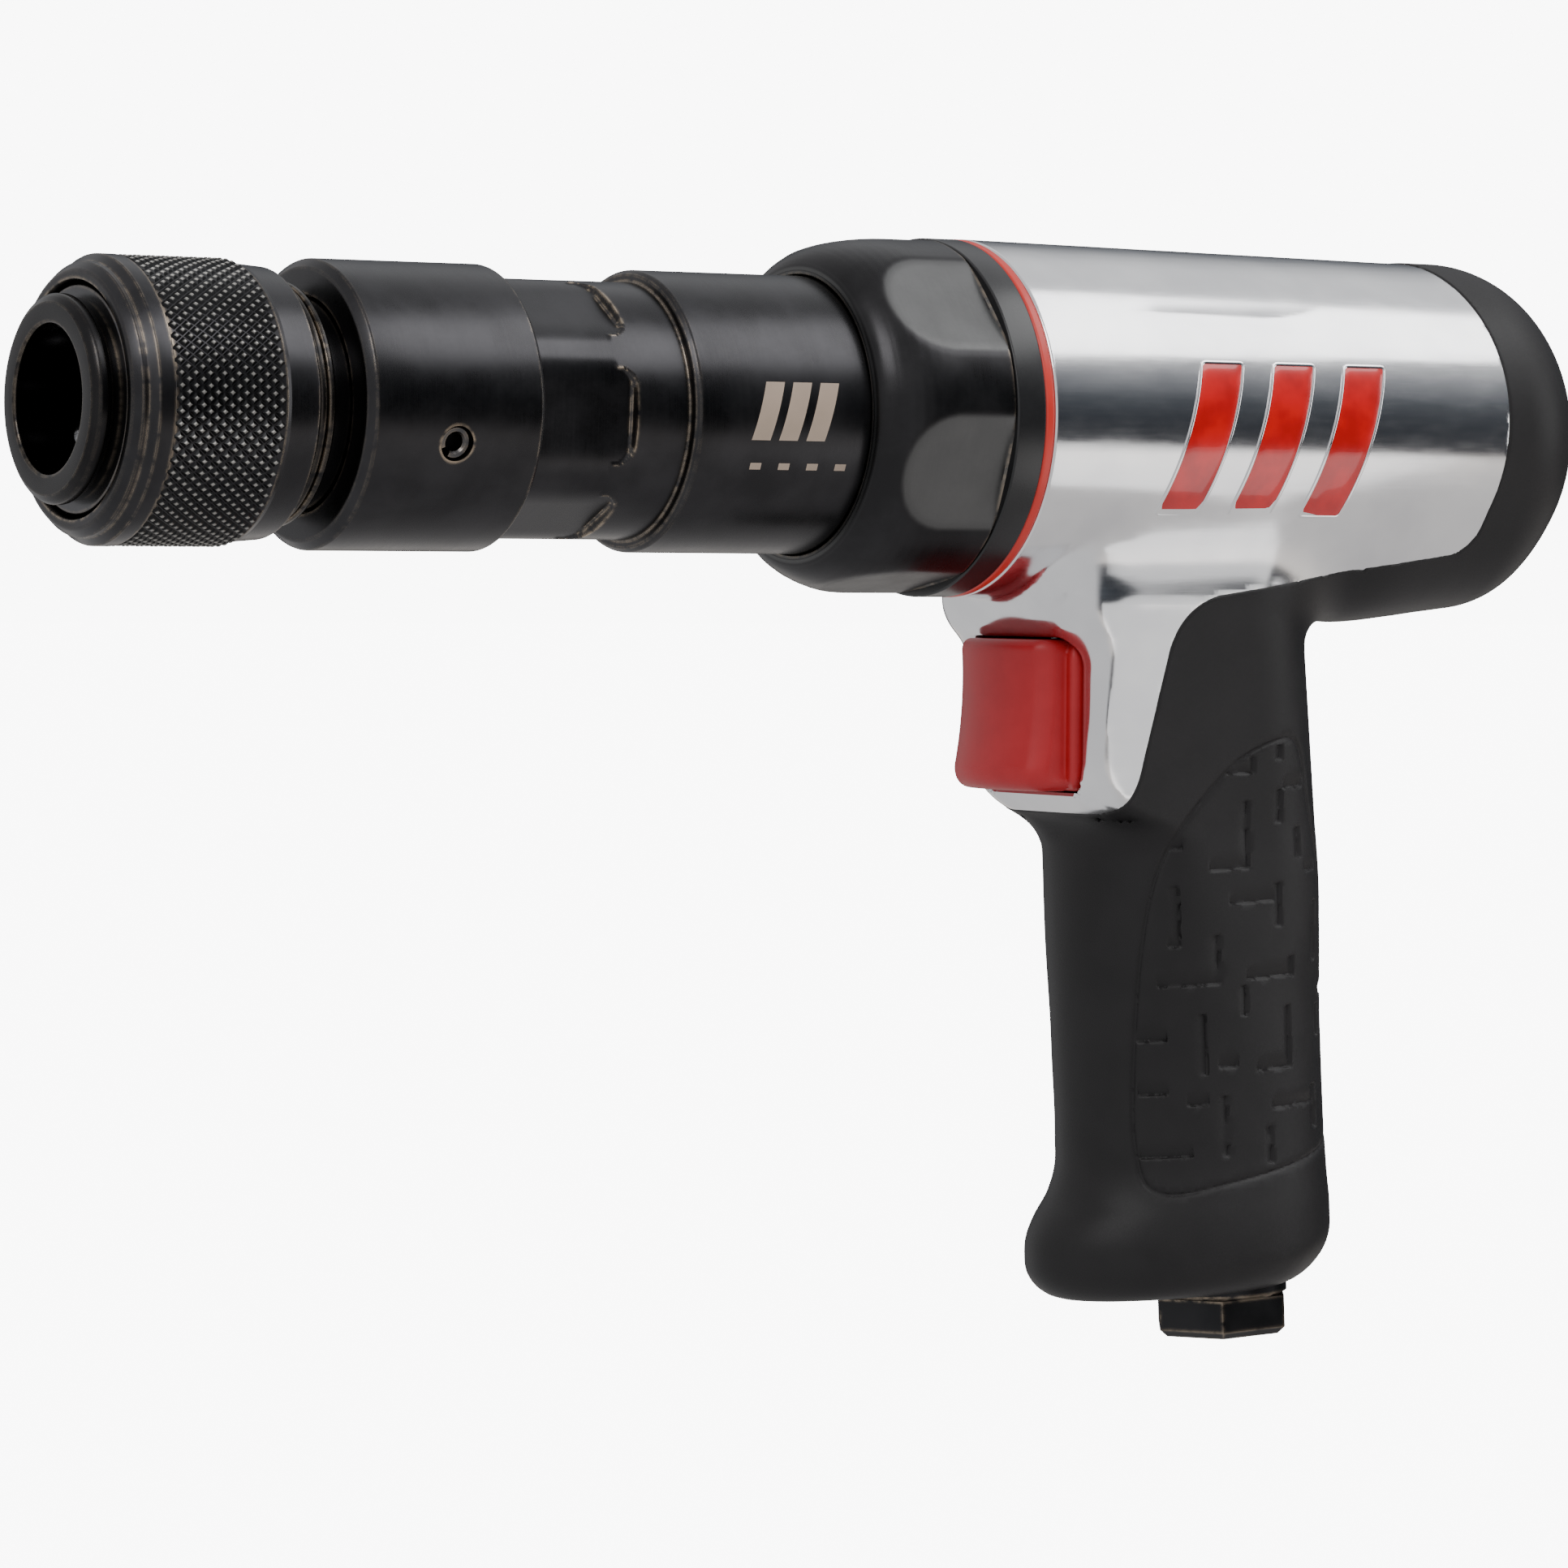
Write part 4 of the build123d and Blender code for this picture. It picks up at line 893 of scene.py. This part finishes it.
def closed_curve(corners, steps=8):
    """A smooth closed curve through a few points."""
    points = np.array(corners, float)
    curve = []
    for number in range(len(points)):
        before, start, end, after = (points[(number + shift) % len(points)] for shift in (-1, 0, 1, 2))
        for share in np.arange(steps) / steps:
            curve.append(0.5 * (2 * start + (end - before) * share
                                + (2 * before - 5 * start + 4 * end - after) * share ** 2
                                + (3 * start - before - 3 * end + after) * share ** 3))
    return np.array(curve + curve[:1])


PAD_OUTLINE = Outline(closed_curve(PAD_CORNERS[::-1]), (-36, 10), (32, 98), 0.25)


def tread_marks(wrap, height):
    """How deep the treads are cut, and how far the nearest sharp line is."""
    depth = np.zeros(wrap.shape)
    line = np.full(wrap.shape, FAR_AWAY)
    blur = 0.12
    for places, ramp_width, ahead, along in (
            ([(at, low, top) for at, top, low in UPRIGHT_TREADS], 2.1, wrap, height),
            (LEVEL_TREADS, 2.3, height, wrap)):
        for at, start, end in places:
            past = ahead - at
            within = np.minimum(along - start, end - along)
            ramp = np.clip(1 - past / ramp_width, 0, 1) * smooth_step(past, -blur, blur)
            depth = np.maximum(depth, TREAD_DEPTH * ramp * smooth_step(within, -blur, blur))
            line = np.minimum(line, np.hypot(past, np.maximum(-within, 0)))
            for end_gap in (along - start, end - along):
                beside = np.maximum(np.maximum(-past, past - ramp_width), 0)
                line = np.minimum(line, np.hypot(end_gap, beside))
    return depth, line


def tread(x, y, z):
    """Depth of the grip's tread and outline groove, and distance to their nearest line."""
    height, ahead = grip_frame(x, z)
    wrap = WRAP_RADIUS * (np.arctan2(np.abs(y), -ahead) - pi / 2)
    on_pad = (height > 12) & (height < 94) & (np.hypot(ahead, y) > 10)
    depth, line = np.zeros(x.shape), np.full(x.shape, FAR_AWAY)
    if on_pad.any():
        wrap, height = wrap[on_pad], height[on_pad]
        gap = PAD_OUTLINE(wrap, height)
        cut, near_line = tread_marks(wrap, height)
        cut = cut * smooth_step(gap, 0.0, 0.4)
        groove = GROOVE_DEPTH * np.exp(-(gap / GROOVE_HALF_WIDTH) ** 2)
        depth[on_pad] = np.maximum(cut, groove) + 0.1 * smooth_step(gap, -0.2, 0.4)
        line[on_pad] = np.minimum(np.where(gap > -0.3, near_line, FAR_AWAY), np.abs(gap))
    return depth, line


def metal_shape(x, y, z):
    """The bare casting: what the rubber leaves, with the trigger's opening and pocket."""
    outside = casing(x, y, z)
    under = corner(outside, rubber_side(x, z) - 1.4, 0.3)
    seat = np.maximum(outside + 2.2, rubber_side(x, z) - 6.0)
    whole = np.minimum(under, seat)
    bored = np.maximum(whole, -np.maximum(np.hypot(y, z) - HOUSING_BORE_R, -212 - x))
    front = corner(bored, -opening(x, y, z), 1.7)
    return corner(front, -pocket(x, y, z), 0.5)


def rubber_shape(x, y, z):
    """The soft cover: a shell over the cap and the handle, a little proud of the metal."""
    plain = casing(x, y, z) - RUBBER_PROUD
    rounded = corner(plain + tread(x, y, z)[0], -rubber_side(x, z), 0.6)
    return np.maximum(rounded, -(plain + RUBBER_THICKNESS))


def trigger_shape(x, y, z):
    """The trigger: a hollowed finger face, a round front and a wider back that slides in the pocket."""
    hollow = -98.6 - np.sqrt(FINGER_RADIUS ** 2 - (z + 42.0) ** 2)
    crown = 9.2 * (1 - np.sqrt(np.maximum(1 - (y / 15.2) ** 2, 0.02)))
    ends = np.maximum(z - TRIGGER_TOP, TRIGGER_BOTTOM - z)
    end_round = 2.0 + 2.2 * smooth_step(-z, 46.0, 58.0)
    head = corner(corner(x - hollow + crown, ends, end_round), np.abs(y) - TRIGGER_HALF_WIDTH, 2.2)
    head = np.maximum(head, HEAD_REAR - x)
    flange = corner(corner(x - FLANGE_FACE, np.abs(y) - FLANGE_HALF_WIDTH, 0.9), ends, 3.0)
    inside = np.maximum(np.maximum(np.abs(y) - 11.5, ends + 2.2), x + 177.5)
    return np.maximum(np.maximum(np.minimum(head, flange), TRIGGER_REAR - x), -inside)


def blended(name, surface, material, slot, body, stands_for, crease=40):
    """A blended piece from its points and faces. It stands for one CAD node."""
    points, faces = surface
    thing = make_piece(name, points, faces, material, body, slot, crease)
    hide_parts(stands_for)


# --- Barrel line -------------------------------------------------------------------------------------
def make_retainer():
    """The quick-change retainer: the nose tube, the sleeve with its release cone, and the ring."""
    turned("retainer_body", [
        (0.0, 11.1, 0.5), (0.0, 14.3, 0.3), (0.5, 15.1, 0.5), (1.0, 15.6, 0.8), (2.4, 15.6, 0.8),
        (3.1, 15.0, 0.3), (4.6, 15.0, 0), (4.6, 14.0, 0), (5.5, 14.0, 0), (5.5, 15.0, 0), (35.5, 15.0, 0),
        (35.5, 18.6, 0.75), (37.0, 18.6, 0.75), (37.0, 17.6, 0), (37.15, 17.6, 0), (37.15, 18.6, 0.75),
        (38.5, 18.6, 0.75), (38.5, 16.2, 0.1), (44.5, 16.2, 0), (44.5, 19.0, 0), (49.0, 19.0, 0),
        (49.0, 6.5, 0), (27.0, 6.5, 0.5), (24.0, 11.1, 0.5)],
        FINISHES["nose"], "black_steel", around=144)
    turned("retainer_sleeve", [
        (4.1, 17.8, 0.2), (4.1, 19.2, 0.9), (5.5, 20.45, 0.5), (6.3, 20.45, 0.2), (7.6, SLEEVE_R, 0.35),
        (10.2, SLEEVE_R, 0.25), (10.5, KNURL_ROOT_R, 0), (28.5, KNURL_ROOT_R, 0), (28.8, 21.2, 0.2),
        (29.6, 20.9, 0.5), (34.8, 20.5, 0.5), (34.8, 18.95, 0), (17.0, 18.95, 0), (17.0, 15.1, 0),
        (13.1, 15.1, 0)],
        FINISHES["sleeve"], "black_steel", body="sleeve", around=180)
    turned("retainer_snap_ring", [
        (4.6, 14.1, 0.1), (4.6, 17.0, 0.4), (5.5, 17.0, 0.4), (5.5, 14.1, 0.1)],
        FINISHES["spring"], "spring_steel", around=144)


# The knurl's inputs: lengths in metres, then counts.
KNURL = {"Radius": (SLEEVE_R - 0.62) * MM, "Front": -0.0102, "Pitch along": 0.00236,
         "Point height": 0.0006, "Tip size": 0.00022, "Points around": 71, "Rows": 15}


def knurl_tree(material):
    """A node group that covers a band of a cylinder with diamond points."""
    tree = bpy.data.node_groups.new("diamond_knurl", "GeometryNodeTree")
    tree.interface.new_socket("Geometry", in_out="OUTPUT", socket_type="NodeSocketGeometry")
    for name, value in KNURL.items():
        kind = "NodeSocketInt" if isinstance(value, int) else "NodeSocketFloat"
        made = tree.interface.new_socket(name, in_out="INPUT", socket_type=kind)
        made.default_value = value
    given = tree.nodes.new("NodeGroupInput")

    def node(kind, settings, values):
        made = tree.nodes.new(kind)
        for name, setting in settings.items():
            setattr(made, name, setting)
        for name, value in values.items():
            if isinstance(value, bpy.types.NodeSocket):
                tree.links.new(value, made.inputs[name])
            else:
                made.inputs[name].default_value = value
        return made.outputs

    def math(operation, *values):
        return node("ShaderNodeMath", {"operation": operation}, dict(enumerate(values)))[0]

    count = math("MULTIPLY", given.outputs["Points around"], given.outputs["Rows"])
    dots = node("GeometryNodePoints", {}, {"Count": count})["Points"]
    index = node("GeometryNodeInputIndex", {}, {})[0]
    row = math("FLOOR", math("DIVIDE", math("ADD", index, 0.5), given.outputs["Points around"]))
    stagger = math("MULTIPLY", math("MODULO", row, 2.0), 0.5)
    turns = math("DIVIDE", math("ADD", index, stagger), given.outputs["Points around"])
    angle = math("MULTIPLY", turns, 2 * pi)
    half_pitch = math("MULTIPLY", given.outputs["Pitch along"], 0.5)
    behind = math("MULTIPLY", math("ADD", row, 0.9), half_pitch)
    across = math("MULTIPLY", math("COSINE", angle), given.outputs["Radius"])
    above = math("MULTIPLY", math("SINE", angle), given.outputs["Radius"])
    along = math("SUBTRACT", given.outputs["Front"], behind)
    place = node("ShaderNodeCombineXYZ", {}, {"X": along, "Y": across, "Z": above})[0]
    set_dots = node("GeometryNodeSetPosition", {}, {"Geometry": dots, "Position": place})[0]
    lean = node("ShaderNodeCombineXYZ", {}, {"X": math("SUBTRACT", angle, pi / 2)})[0]
    point = node("GeometryNodeMeshCone", {}, {
        "Vertices": 4, "Radius Top": given.outputs["Tip size"], "Radius Bottom": half_pitch,
        "Depth": given.outputs["Point height"]})[0]
    around = math("DIVIDE", math("MULTIPLY", given.outputs["Radius"], pi), given.outputs["Points around"])
    squeeze = math("DIVIDE", around, half_pitch)
    size = node("ShaderNodeCombineXYZ", {}, {"X": 0.97, "Y": math("MULTIPLY", squeeze, 0.97), "Z": 1.0})[0]
    spread = node("GeometryNodeInstanceOnPoints", {}, {
        "Points": set_dots, "Instance": point, "Rotation": lean, "Scale": size})[0]
    real = node("GeometryNodeRealizeInstances", {}, {"Geometry": spread})[0]
    flat = node("GeometryNodeSetShadeSmooth", {}, {"Geometry": real, "Shade Smooth": False})[0]
    dressed = node("GeometryNodeSetMaterial", {}, {"Geometry": flat, "Material": material})[0]
    result = tree.nodes.new("NodeGroupOutput")
    tree.links.new(dressed, result.inputs[0])
    return tree


def grow(name, tree, settings):
    """Runs a node group on an empty mesh, with its inputs set by identifier, and keeps a plain mesh."""
    seed = bpy.data.objects.new("seed_" + name, bpy.data.meshes.new("seed_" + name))
    bpy.context.collection.objects.link(seed)
    maker = seed.modifiers.new("maker", "NODES")
    maker.node_group = tree
    for item in tree.interface.items_tree:
        if item.in_out == "INPUT" and item.name in settings:
            maker[item.identifier] = settings[item.name]
    bpy.context.view_layer.update()
    ready = seed.evaluated_get(bpy.context.evaluated_depsgraph_get())
    mesh = bpy.data.meshes.new_from_object(ready)
    mesh.name = name
    bpy.data.objects.remove(seed)
    return mesh


def make_knurl():
    """The diamond points on the sleeve."""
    tree = knurl_tree(FINISHES["knurl"])
    mesh = grow("sleeve_knurl", tree, KNURL)
    thing = bpy.data.objects.new("sleeve_knurl", mesh)
    bpy.context.collection.objects.link(thing)
    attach(thing, "sleeve")


def cut_away(thing, points, faces):
    """Cuts a closed shape out of a piece."""
    mesh = bpy.data.meshes.new("cutter")
    mesh.from_pydata((points * MM).tolist(), [], faces)
    cutter = bpy.data.objects.new("cutter", mesh)
    bpy.context.collection.objects.link(cutter)
    tool = thing.modifiers.new("cut", "BOOLEAN")
    tool.object = cutter
    tool.solver = "EXACT"
    ready = thing.evaluated_get(bpy.context.evaluated_depsgraph_get())
    fresh = bpy.data.meshes.new_from_object(ready)
    thing.modifiers.remove(tool)
    thing.data = fresh
    bpy.data.objects.remove(cutter)
    fresh.set_sharp_from_angle(angle=radians(30))


def facing_frame(distance, angle):
    """A point on the axis and three directions: out, along the muzzle, and around."""
    out = np.array((0, cos(radians(angle)), sin(radians(angle))))
    along = np.array((1.0, 0, 0))
    return np.array((-distance, 0, 0)), out, along, np.cross(out, along)


def rod(frame_of, radius, low, high, sides=40):
    """Points and faces of a round rod that stands out from the barrel axis."""
    middle, out, along, around = frame_of
    turns = np.arange(sides) * 2 * pi / sides
    ring = radius * (np.cos(turns)[:, None] * along + np.sin(turns)[:, None] * around)
    points = np.concatenate((middle + ring + out * low, middle + ring + out * high))
    walls = [[n, (n + 1) % sides, (n + 1) % sides + sides, n + sides] for n in range(sides)]
    caps = [list(range(sides))[::-1], list(range(sides, 2 * sides))]
    return points, walls + caps


def make_collar():
    """The collar with its pin hole, and the rolled pin."""
    collar = turned("retainer_collar", [
        (COLLAR_FRONT, 16.6, 0), (COLLAR_FRONT, 20.7, 0.8), (COLLAR_FRONT + 1.3, COLLAR_R, 0.7),
        (50, COLLAR_R, 0), (55, COLLAR_R, 0), (60, COLLAR_R, 0), (65, COLLAR_R, 0),
        (NECK_FRONT - 0.8, COLLAR_R, 0.5), (NECK_FRONT, 21.2, 0.4), (NECK_FRONT, 17.6, 0), (49.2, 17.6, 0),
        (49.2, 19.2, 0), (44.3, 19.2, 0), (44.3, 16.6, 0)], FINISHES["collar"], "black_steel", around=180)
    frame_of = facing_frame(PIN_AT, PIN_ANGLE)
    cut_away(collar, *rod(frame_of, 2.75, 16, 26))
    rolled = []
    outer, inner = 2.62, 1.45
    steps = 26
    middle, out, along, around = frame_of
    for level, trim in ((14.2, 0.25), (14.5, 0), (21.0, 0), (21.35, 0.3)):
        for radius, sign in ((outer, -1), (inner, 1)):
            for number in range(steps + 1):
                turn = radians(65) + radians(318) * number / steps
                spot = (radius + sign * trim) * (cos(turn) * along + sin(turn) * around)
                rolled.append(middle + spot + out * level)
    faces = []
    lane = steps + 1
    ring = [0, 2, 4, 6, 7, 5, 3, 1]
    for first, second in zip(ring, ring[1:] + ring[:1]):
        faces += [[first * lane + n, first * lane + n + 1, second * lane + n + 1, second * lane + n]
                  for n in range(steps)]
    for start in (0, steps):
        for low in (0, 2, 4):
            end = [(low + step) * lane + start for step in (0, 1, 3, 2)]
            faces.append(end if start else end[::-1])
    pin = make_piece("rolled_pin", rolled, faces, FINISHES["spring"], "root", "spring_steel")
    tidy_normals(pin)
    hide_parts("collar_pin")


def tidy_normals(thing):
    """Makes every face of a closed piece point outwards."""
    work = bmesh.new()
    work.from_mesh(thing.data)
    bmesh.ops.recalc_face_normals(work, faces=work.faces)
    work.to_mesh(thing.data)
    work.free()


def make_barrel():
    """The barrel with its flatted neck, and the bell nut."""
    neck = with_flats(NECK_FRONT - 0.5, NECK_FLAT_END, NECK_FLAT_AT, NECK_FLAT_ANGLE, 0.9, 3.2)
    neck_start = NECK_FRONT + 0.05
    turned("barrel", [
        (49.0, 7.2, 0), (49.0, 16.6, 0), (49.9, 17.5, 0), (neck_start, 17.5, 0), (neck_start, NECK_R, 0),
        (NECK_FRONT + 16.6, NECK_R, 0), (NECK_FRONT + 17.0, NECK_R, 0), (NECK_FRONT + 17.6, NECK_R, 0),
        (TUBE_FRONT, NECK_R, 0.4), (TUBE_FRONT, TUBE_R - 0.7, 0.5), (TUBE_FRONT + 0.8, TUBE_R, 0.8),
        (132.0, TUBE_R, 0), (171.0, TUBE_R, 0), (171.0, 25.2, 0.4), (175.0, 25.2, 0.4), (175.0, TUBE_R, 0),
        (192.0, TUBE_R, 0.5), (192.0, 9.55, 0.3), (83.0, 9.55, 0), (80.0, 6.4, 0), (49.8, 6.4, 0)],
        FINISHES["barrel"], "black_steel", around=360, shape=neck,
        rows=(NECK_FRONT, NECK_FRONT + 17.7, 0.3))
    flats = with_flats(NUT_FRONT - 1, LOCK_RING_FRONT + 0.1, NUT_FLAT_AT, NUT_FLAT_ANGLE, 0.5)
    bell_rise = NUT_R - BELL_FRONT_R
    bell = [(NUT_FRONT + BELL_LENGTH * (1 - cos(turn)), BELL_FRONT_R + bell_rise * sin(turn), 0)
            for turn in np.linspace(0, pi / 2, 12)]
    turned("barrel_nut", [
        (NUT_FRONT, 22.2, 0.2), *bell, (LOCK_RING_FRONT - 0.4, NUT_R, 0), (LOCK_RING_FRONT, NUT_R - 0.4, 0),
        (LOCK_RING_FRONT, 25.5, 0), (168.0, 25.5, 0.3), (168.0, 22.2, 0.3)],
        FINISHES["nut"], "black_steel", around=480, shape=flats, rows=(NUT_FRONT, LOCK_RING_FRONT, 0.4))
    lock_start, lock_end = LOCK_RING_FRONT + 0.03, SEAL_RING_FRONT - 0.02
    turned("lock_ring", [
        (lock_start, 25.6, 0), (lock_start, 28.7, 0.35), (lock_end, 28.7, 0.2), (lock_end, 25.6, 0)],
        FINISHES["black_ring"], "black_ring", around=200)
    turned("seal_ring", [
        (SEAL_RING_FRONT, 25.65, 0), (SEAL_RING_FRONT, 28.72, 0.5), (HOUSING_FRONT, 28.72, 0.5),
        (HOUSING_FRONT, 25.65, 0)], FINISHES["red_ring"], "red_ring", around=200)


# --- Housing, rubber and trigger ---------------------------------------------------------------------
def make_housing():
    """The cast housing."""
    def near(points):
        x, y, z = points.T
        front = (np.abs(opening(x, y, z)) < 2.2) & (x > -181) & (z < -30) & (z > -64)
        mouth = (np.abs(pocket(x, y, z)) < 1.3) & (x > -179.5)
        return front | mouth | (x > -HOUSING_FRONT - 1.6)
    plain = skin(metal_shape, (-269, -31, -68), (-159.5, 31, 31), 0.9)
    crisp = refine(metal_shape, *plain, near, 2)
    blended("cast_housing", crisp, FINISHES["housing"], "polished_aluminium", "root", "housing")


def make_rubber():
    """The soft cover over the rear cap and the handle, with its tread."""
    def within(reach):
        def near(points):
            x, y, z = points.T
            outer = casing(x, y, z) > -1.3
            return outer & ((np.abs(rubber_side(x, z)) < reach + 0.5) | (tread(x, y, z)[1] < reach))
        return near
    cover = skin(rubber_shape, (-279, -31, -145), (-158, 31, 31), 1.03)
    for reach in (1.3, 0.65):
        cover = refine(rubber_shape, *cover, within(reach))
    blended("soft_grip", cover, FINISHES["rubber"], "grip_rubber", "root", "grip_cover", 50)


def make_trigger():
    """The red trigger."""
    solid = skin(trigger_shape, (-188, -16, -62), (-162, 16, -33), 0.34)
    blended("red_trigger", solid, FINISHES["trigger"], "trigger_red", "trigger", "trigger")


# --- Marks -------------------------------------------------------------------------------------------
def bar_loop(middle, foot, half_width, height, lean, inset, round_r=1.1):
    """The outline of a leaning bar, drawn in from its edge: (x, z) points all the way round."""
    half = half_width - inset * np.hypot(1, lean)
    low, high = foot + inset, foot + height - inset
    radius = max(round_r - inset, 0.15)
    corners = [(middle + side * half + lean * (level - foot - height / 2), level)
               for side, level in ((1, low), (1, high), (-1, high), (-1, low))]
    loop = []
    for number, spot in enumerate(corners):
        here = np.array(spot)
        before = np.array(corners[number - 1]) - here
        after = np.array(corners[(number + 1) % 4]) - here
        run = np.hypot(*after)
        before, after = before / np.hypot(*before), after / run
        for share in np.linspace(0, 1, 5):
            loop.append(here + radius * (before * (1 - share) ** 2 + after * share ** 2))
        pieces = 24 if number % 2 == 0 else 6
        for share in np.arange(1, pieces) / pieces:
            loop.append(here + after * (radius + share * (run - 2 * radius)))
    return np.array(loop)


def on_round(flat, lift, side, radius_at):
    """Puts flat (x, z) points on a turned surface of a given radius, raised by a lift."""
    x, z = flat[:, 0], flat[:, 1]
    base = radius_at(x)
    angle = np.arcsin(z / base)
    return np.column_stack((x, side * (base + lift) * np.cos(angle), (base + lift) * np.sin(angle)))


def bar_rim(shape, side, radius_at, width, high):
    """A thin raised rim around one bar."""
    rings = [(0.0, -0.3), (0.0, high * 0.6), (width * 0.3, high),
             (width * 0.7, high), (width, high * 0.6), (width, -0.3)]
    points = np.concatenate([on_round(bar_loop(*shape, inset), lift, side, radius_at)
                             for inset, lift in rings])
    count = len(points) // len(rings)
    faces = []
    for ring in range(len(rings)):
        after = (ring + 1) % len(rings)
        faces += [[ring * count + n, ring * count + (n + 1) % count, after * count + (n + 1) % count,
                   after * count + n] for n in range(count)]
    return points, np.array(faces)


def bar_fill(shape, side, radius_at, inset, low, high):
    """A gently domed filling for one bar."""
    middle, foot, half_width, height, lean = shape
    columns, rows = 12, 30
    spots, lifts = [], []
    for row in range(rows + 1):
        up = 2 * row / rows - 1
        for column in range(columns + 1):
            across = 2 * column / columns - 1
            level = foot + height / 2 + up * (height / 2 - inset)
            shift = across * (half_width - inset) + lean * (level - foot - height / 2)
            spots.append((middle + shift, level))
            lifts.append(low + (high - low) * (1 - max(abs(up) ** 14, abs(across) ** 6)))
    top = on_round(np.array(spots), np.array(lifts), side, radius_at)
    bottom = on_round(np.array(spots), np.full(len(spots), -0.35), side, radius_at)
    lane = columns + 1
    faces = []
    for row in range(rows):
        for column in range(columns):
            start = row * lane + column
            quad = [start, start + 1, start + lane + 1, start + lane]
            faces += [quad, [number + len(spots) for number in quad[::-1]]]
    border = [*range(columns), *(row * lane + columns for row in range(rows)),
              *(rows * lane + column for column in range(columns, 0, -1)),
              *(row * lane for row in range(rows, 0, -1))]
    for here, there in zip(border, border[1:] + border[:1]):
        faces.append([there, here, here + len(spots), there + len(spots)])
    return np.concatenate((top, bottom)), np.array(faces)


def gather(parts):
    """Several point and face sets as one."""
    points, faces, start = [], [], 0
    for some_points, some_faces in parts:
        points.append(some_points)
        faces.append(outward(some_points, some_faces) + start)
        start += len(some_points)
    return np.concatenate(points), np.concatenate(faces)


def make_marks():
    """Three leaning enamel bars on each side of the housing, and a small etched row on the barrel."""
    bars = [(BAR_MIDDLE + step * BAR_SPACING, BAR_FOOT, BAR_HALF_WIDTH, BAR_HEIGHT, BAR_LEAN)
            for step in (-1, 0, 1)]
    for side, name in ((1, "left"), (-1, "right")):
        rims = gather([bar_rim(bar, side, housing_radius, 0.55, 0.2) for bar in bars])
        make_piece("badge_rim_" + name, *rims, FINISHES["housing"], "root", "polished_aluminium")
        fills = gather([bar_fill(bar, side, housing_radius, 0.45, 0.02, 0.16) for bar in bars])
        enamel_bars = make_piece("badge_enamel_" + name, *fills, FINISHES["enamel"], "root", "badge_enamel")
        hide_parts("badge_" + name)

    def tube_radius(x):
        return np.full(np.shape(x), TUBE_R)

    chips = [(-112.5 - step * 5.0, -4.5, 1.7, 9.0, BAR_LEAN) for step in range(3)]
    chips += [(-111.0 - step * 5.2, -9.0, 1.0, 1.0, 0.0) for step in range(4)]
    etched = gather([bar_fill(chip, 1, tube_radius, 0.0, 0.012, 0.02) for chip in chips])
    make_piece("barrel_mark", *etched, FINISHES["etched"], "root", "black_steel")


# --- Floor and light, then everything in order -------------------------------------------------------
def make_floor():
    """A plain pale floor that only the camera sees, so that the tool stays clear of its glow."""
    corners = [(x * FLOOR_HALF_SIZE, y * FLOOR_HALF_SIZE, FLOOR_LEVEL)
               for x, y in ((-1, -1), (1, -1), (1, 1), (-1, 1))]
    floor = bpy.data.meshes.new("floor")
    floor.from_pydata(corners, [], [(0, 1, 2, 3)])
    pale = Finish("pale_floor")
    seen = pale.node("ShaderNodeLightPath", {}, {}, "Is Camera Ray")
    pale.surface(Base_Color=(0.86, 0.86, 0.86, 1), Roughness=0.9, Emission_Color=(1, 1, 1, 1),
                 Emission_Strength=seen * FLOOR_GLOW)
    floor.materials.append(pale.material)
    ground = bpy.data.objects.new("floor", floor)
    bpy.context.collection.objects.link(ground)
    ground.visible_glossy = False
    ground.visible_diffuse = False


def make_studio():
    """A soft studio around the tool, with a plain pale backdrop, and its lamps."""
    world = bpy.data.worlds.new("studio")
    bpy.context.scene.world = world
    world.use_nodes = True
    studio = Nodes(world.node_tree)
    forward, _, up = studio.split(studio.node("ShaderNodeTexCoord", {}, {}, "Generated"))
    walls = studio.colours(up * 0.5 + 0.5, STUDIO_STOPS)
    all_round = studio.mix(forward.ramp(-0.36, 0.05), walls, STUDIO_FRONT)
    seen = studio.node("ShaderNodeLightPath", {}, {}, "Is Camera Ray")
    sky = studio.node("ShaderNodeBackground", {}, {"Color": studio.mix(seen, all_round, BACKDROP)})
    studio.node("ShaderNodeOutputWorld", {}, {"Surface": sky})
    add_light("key", (-0.70, 0.42, 0.72), (0.8, 0.5), 4)
    add_light("handle_card", (-0.29, 0.16, -0.088), (0.11, 0.09), 0.03, target=(-0.19, 0.02, -0.075))
    add_light("front", (0.45, 0.5, 0.6), (0.5, 0.4), 3)
    add_light("rear_rim", (-0.9, 0.35, 0.1), (0.25, 0.5), 1.2)


add_camera()
make_floor()
make_studio()
for row in frame["record"]["subparts"]:
    node_mesh = frame["nodes"][row["node"]].data
    node_mesh.materials.clear()
    node_mesh.materials.append(FINISHES[FINISH_OF_SLOT[row["material_slot"]]])
make_retainer()
make_knurl()
make_collar()
make_barrel()
make_housing()
make_rubber()
make_trigger()
make_marks()
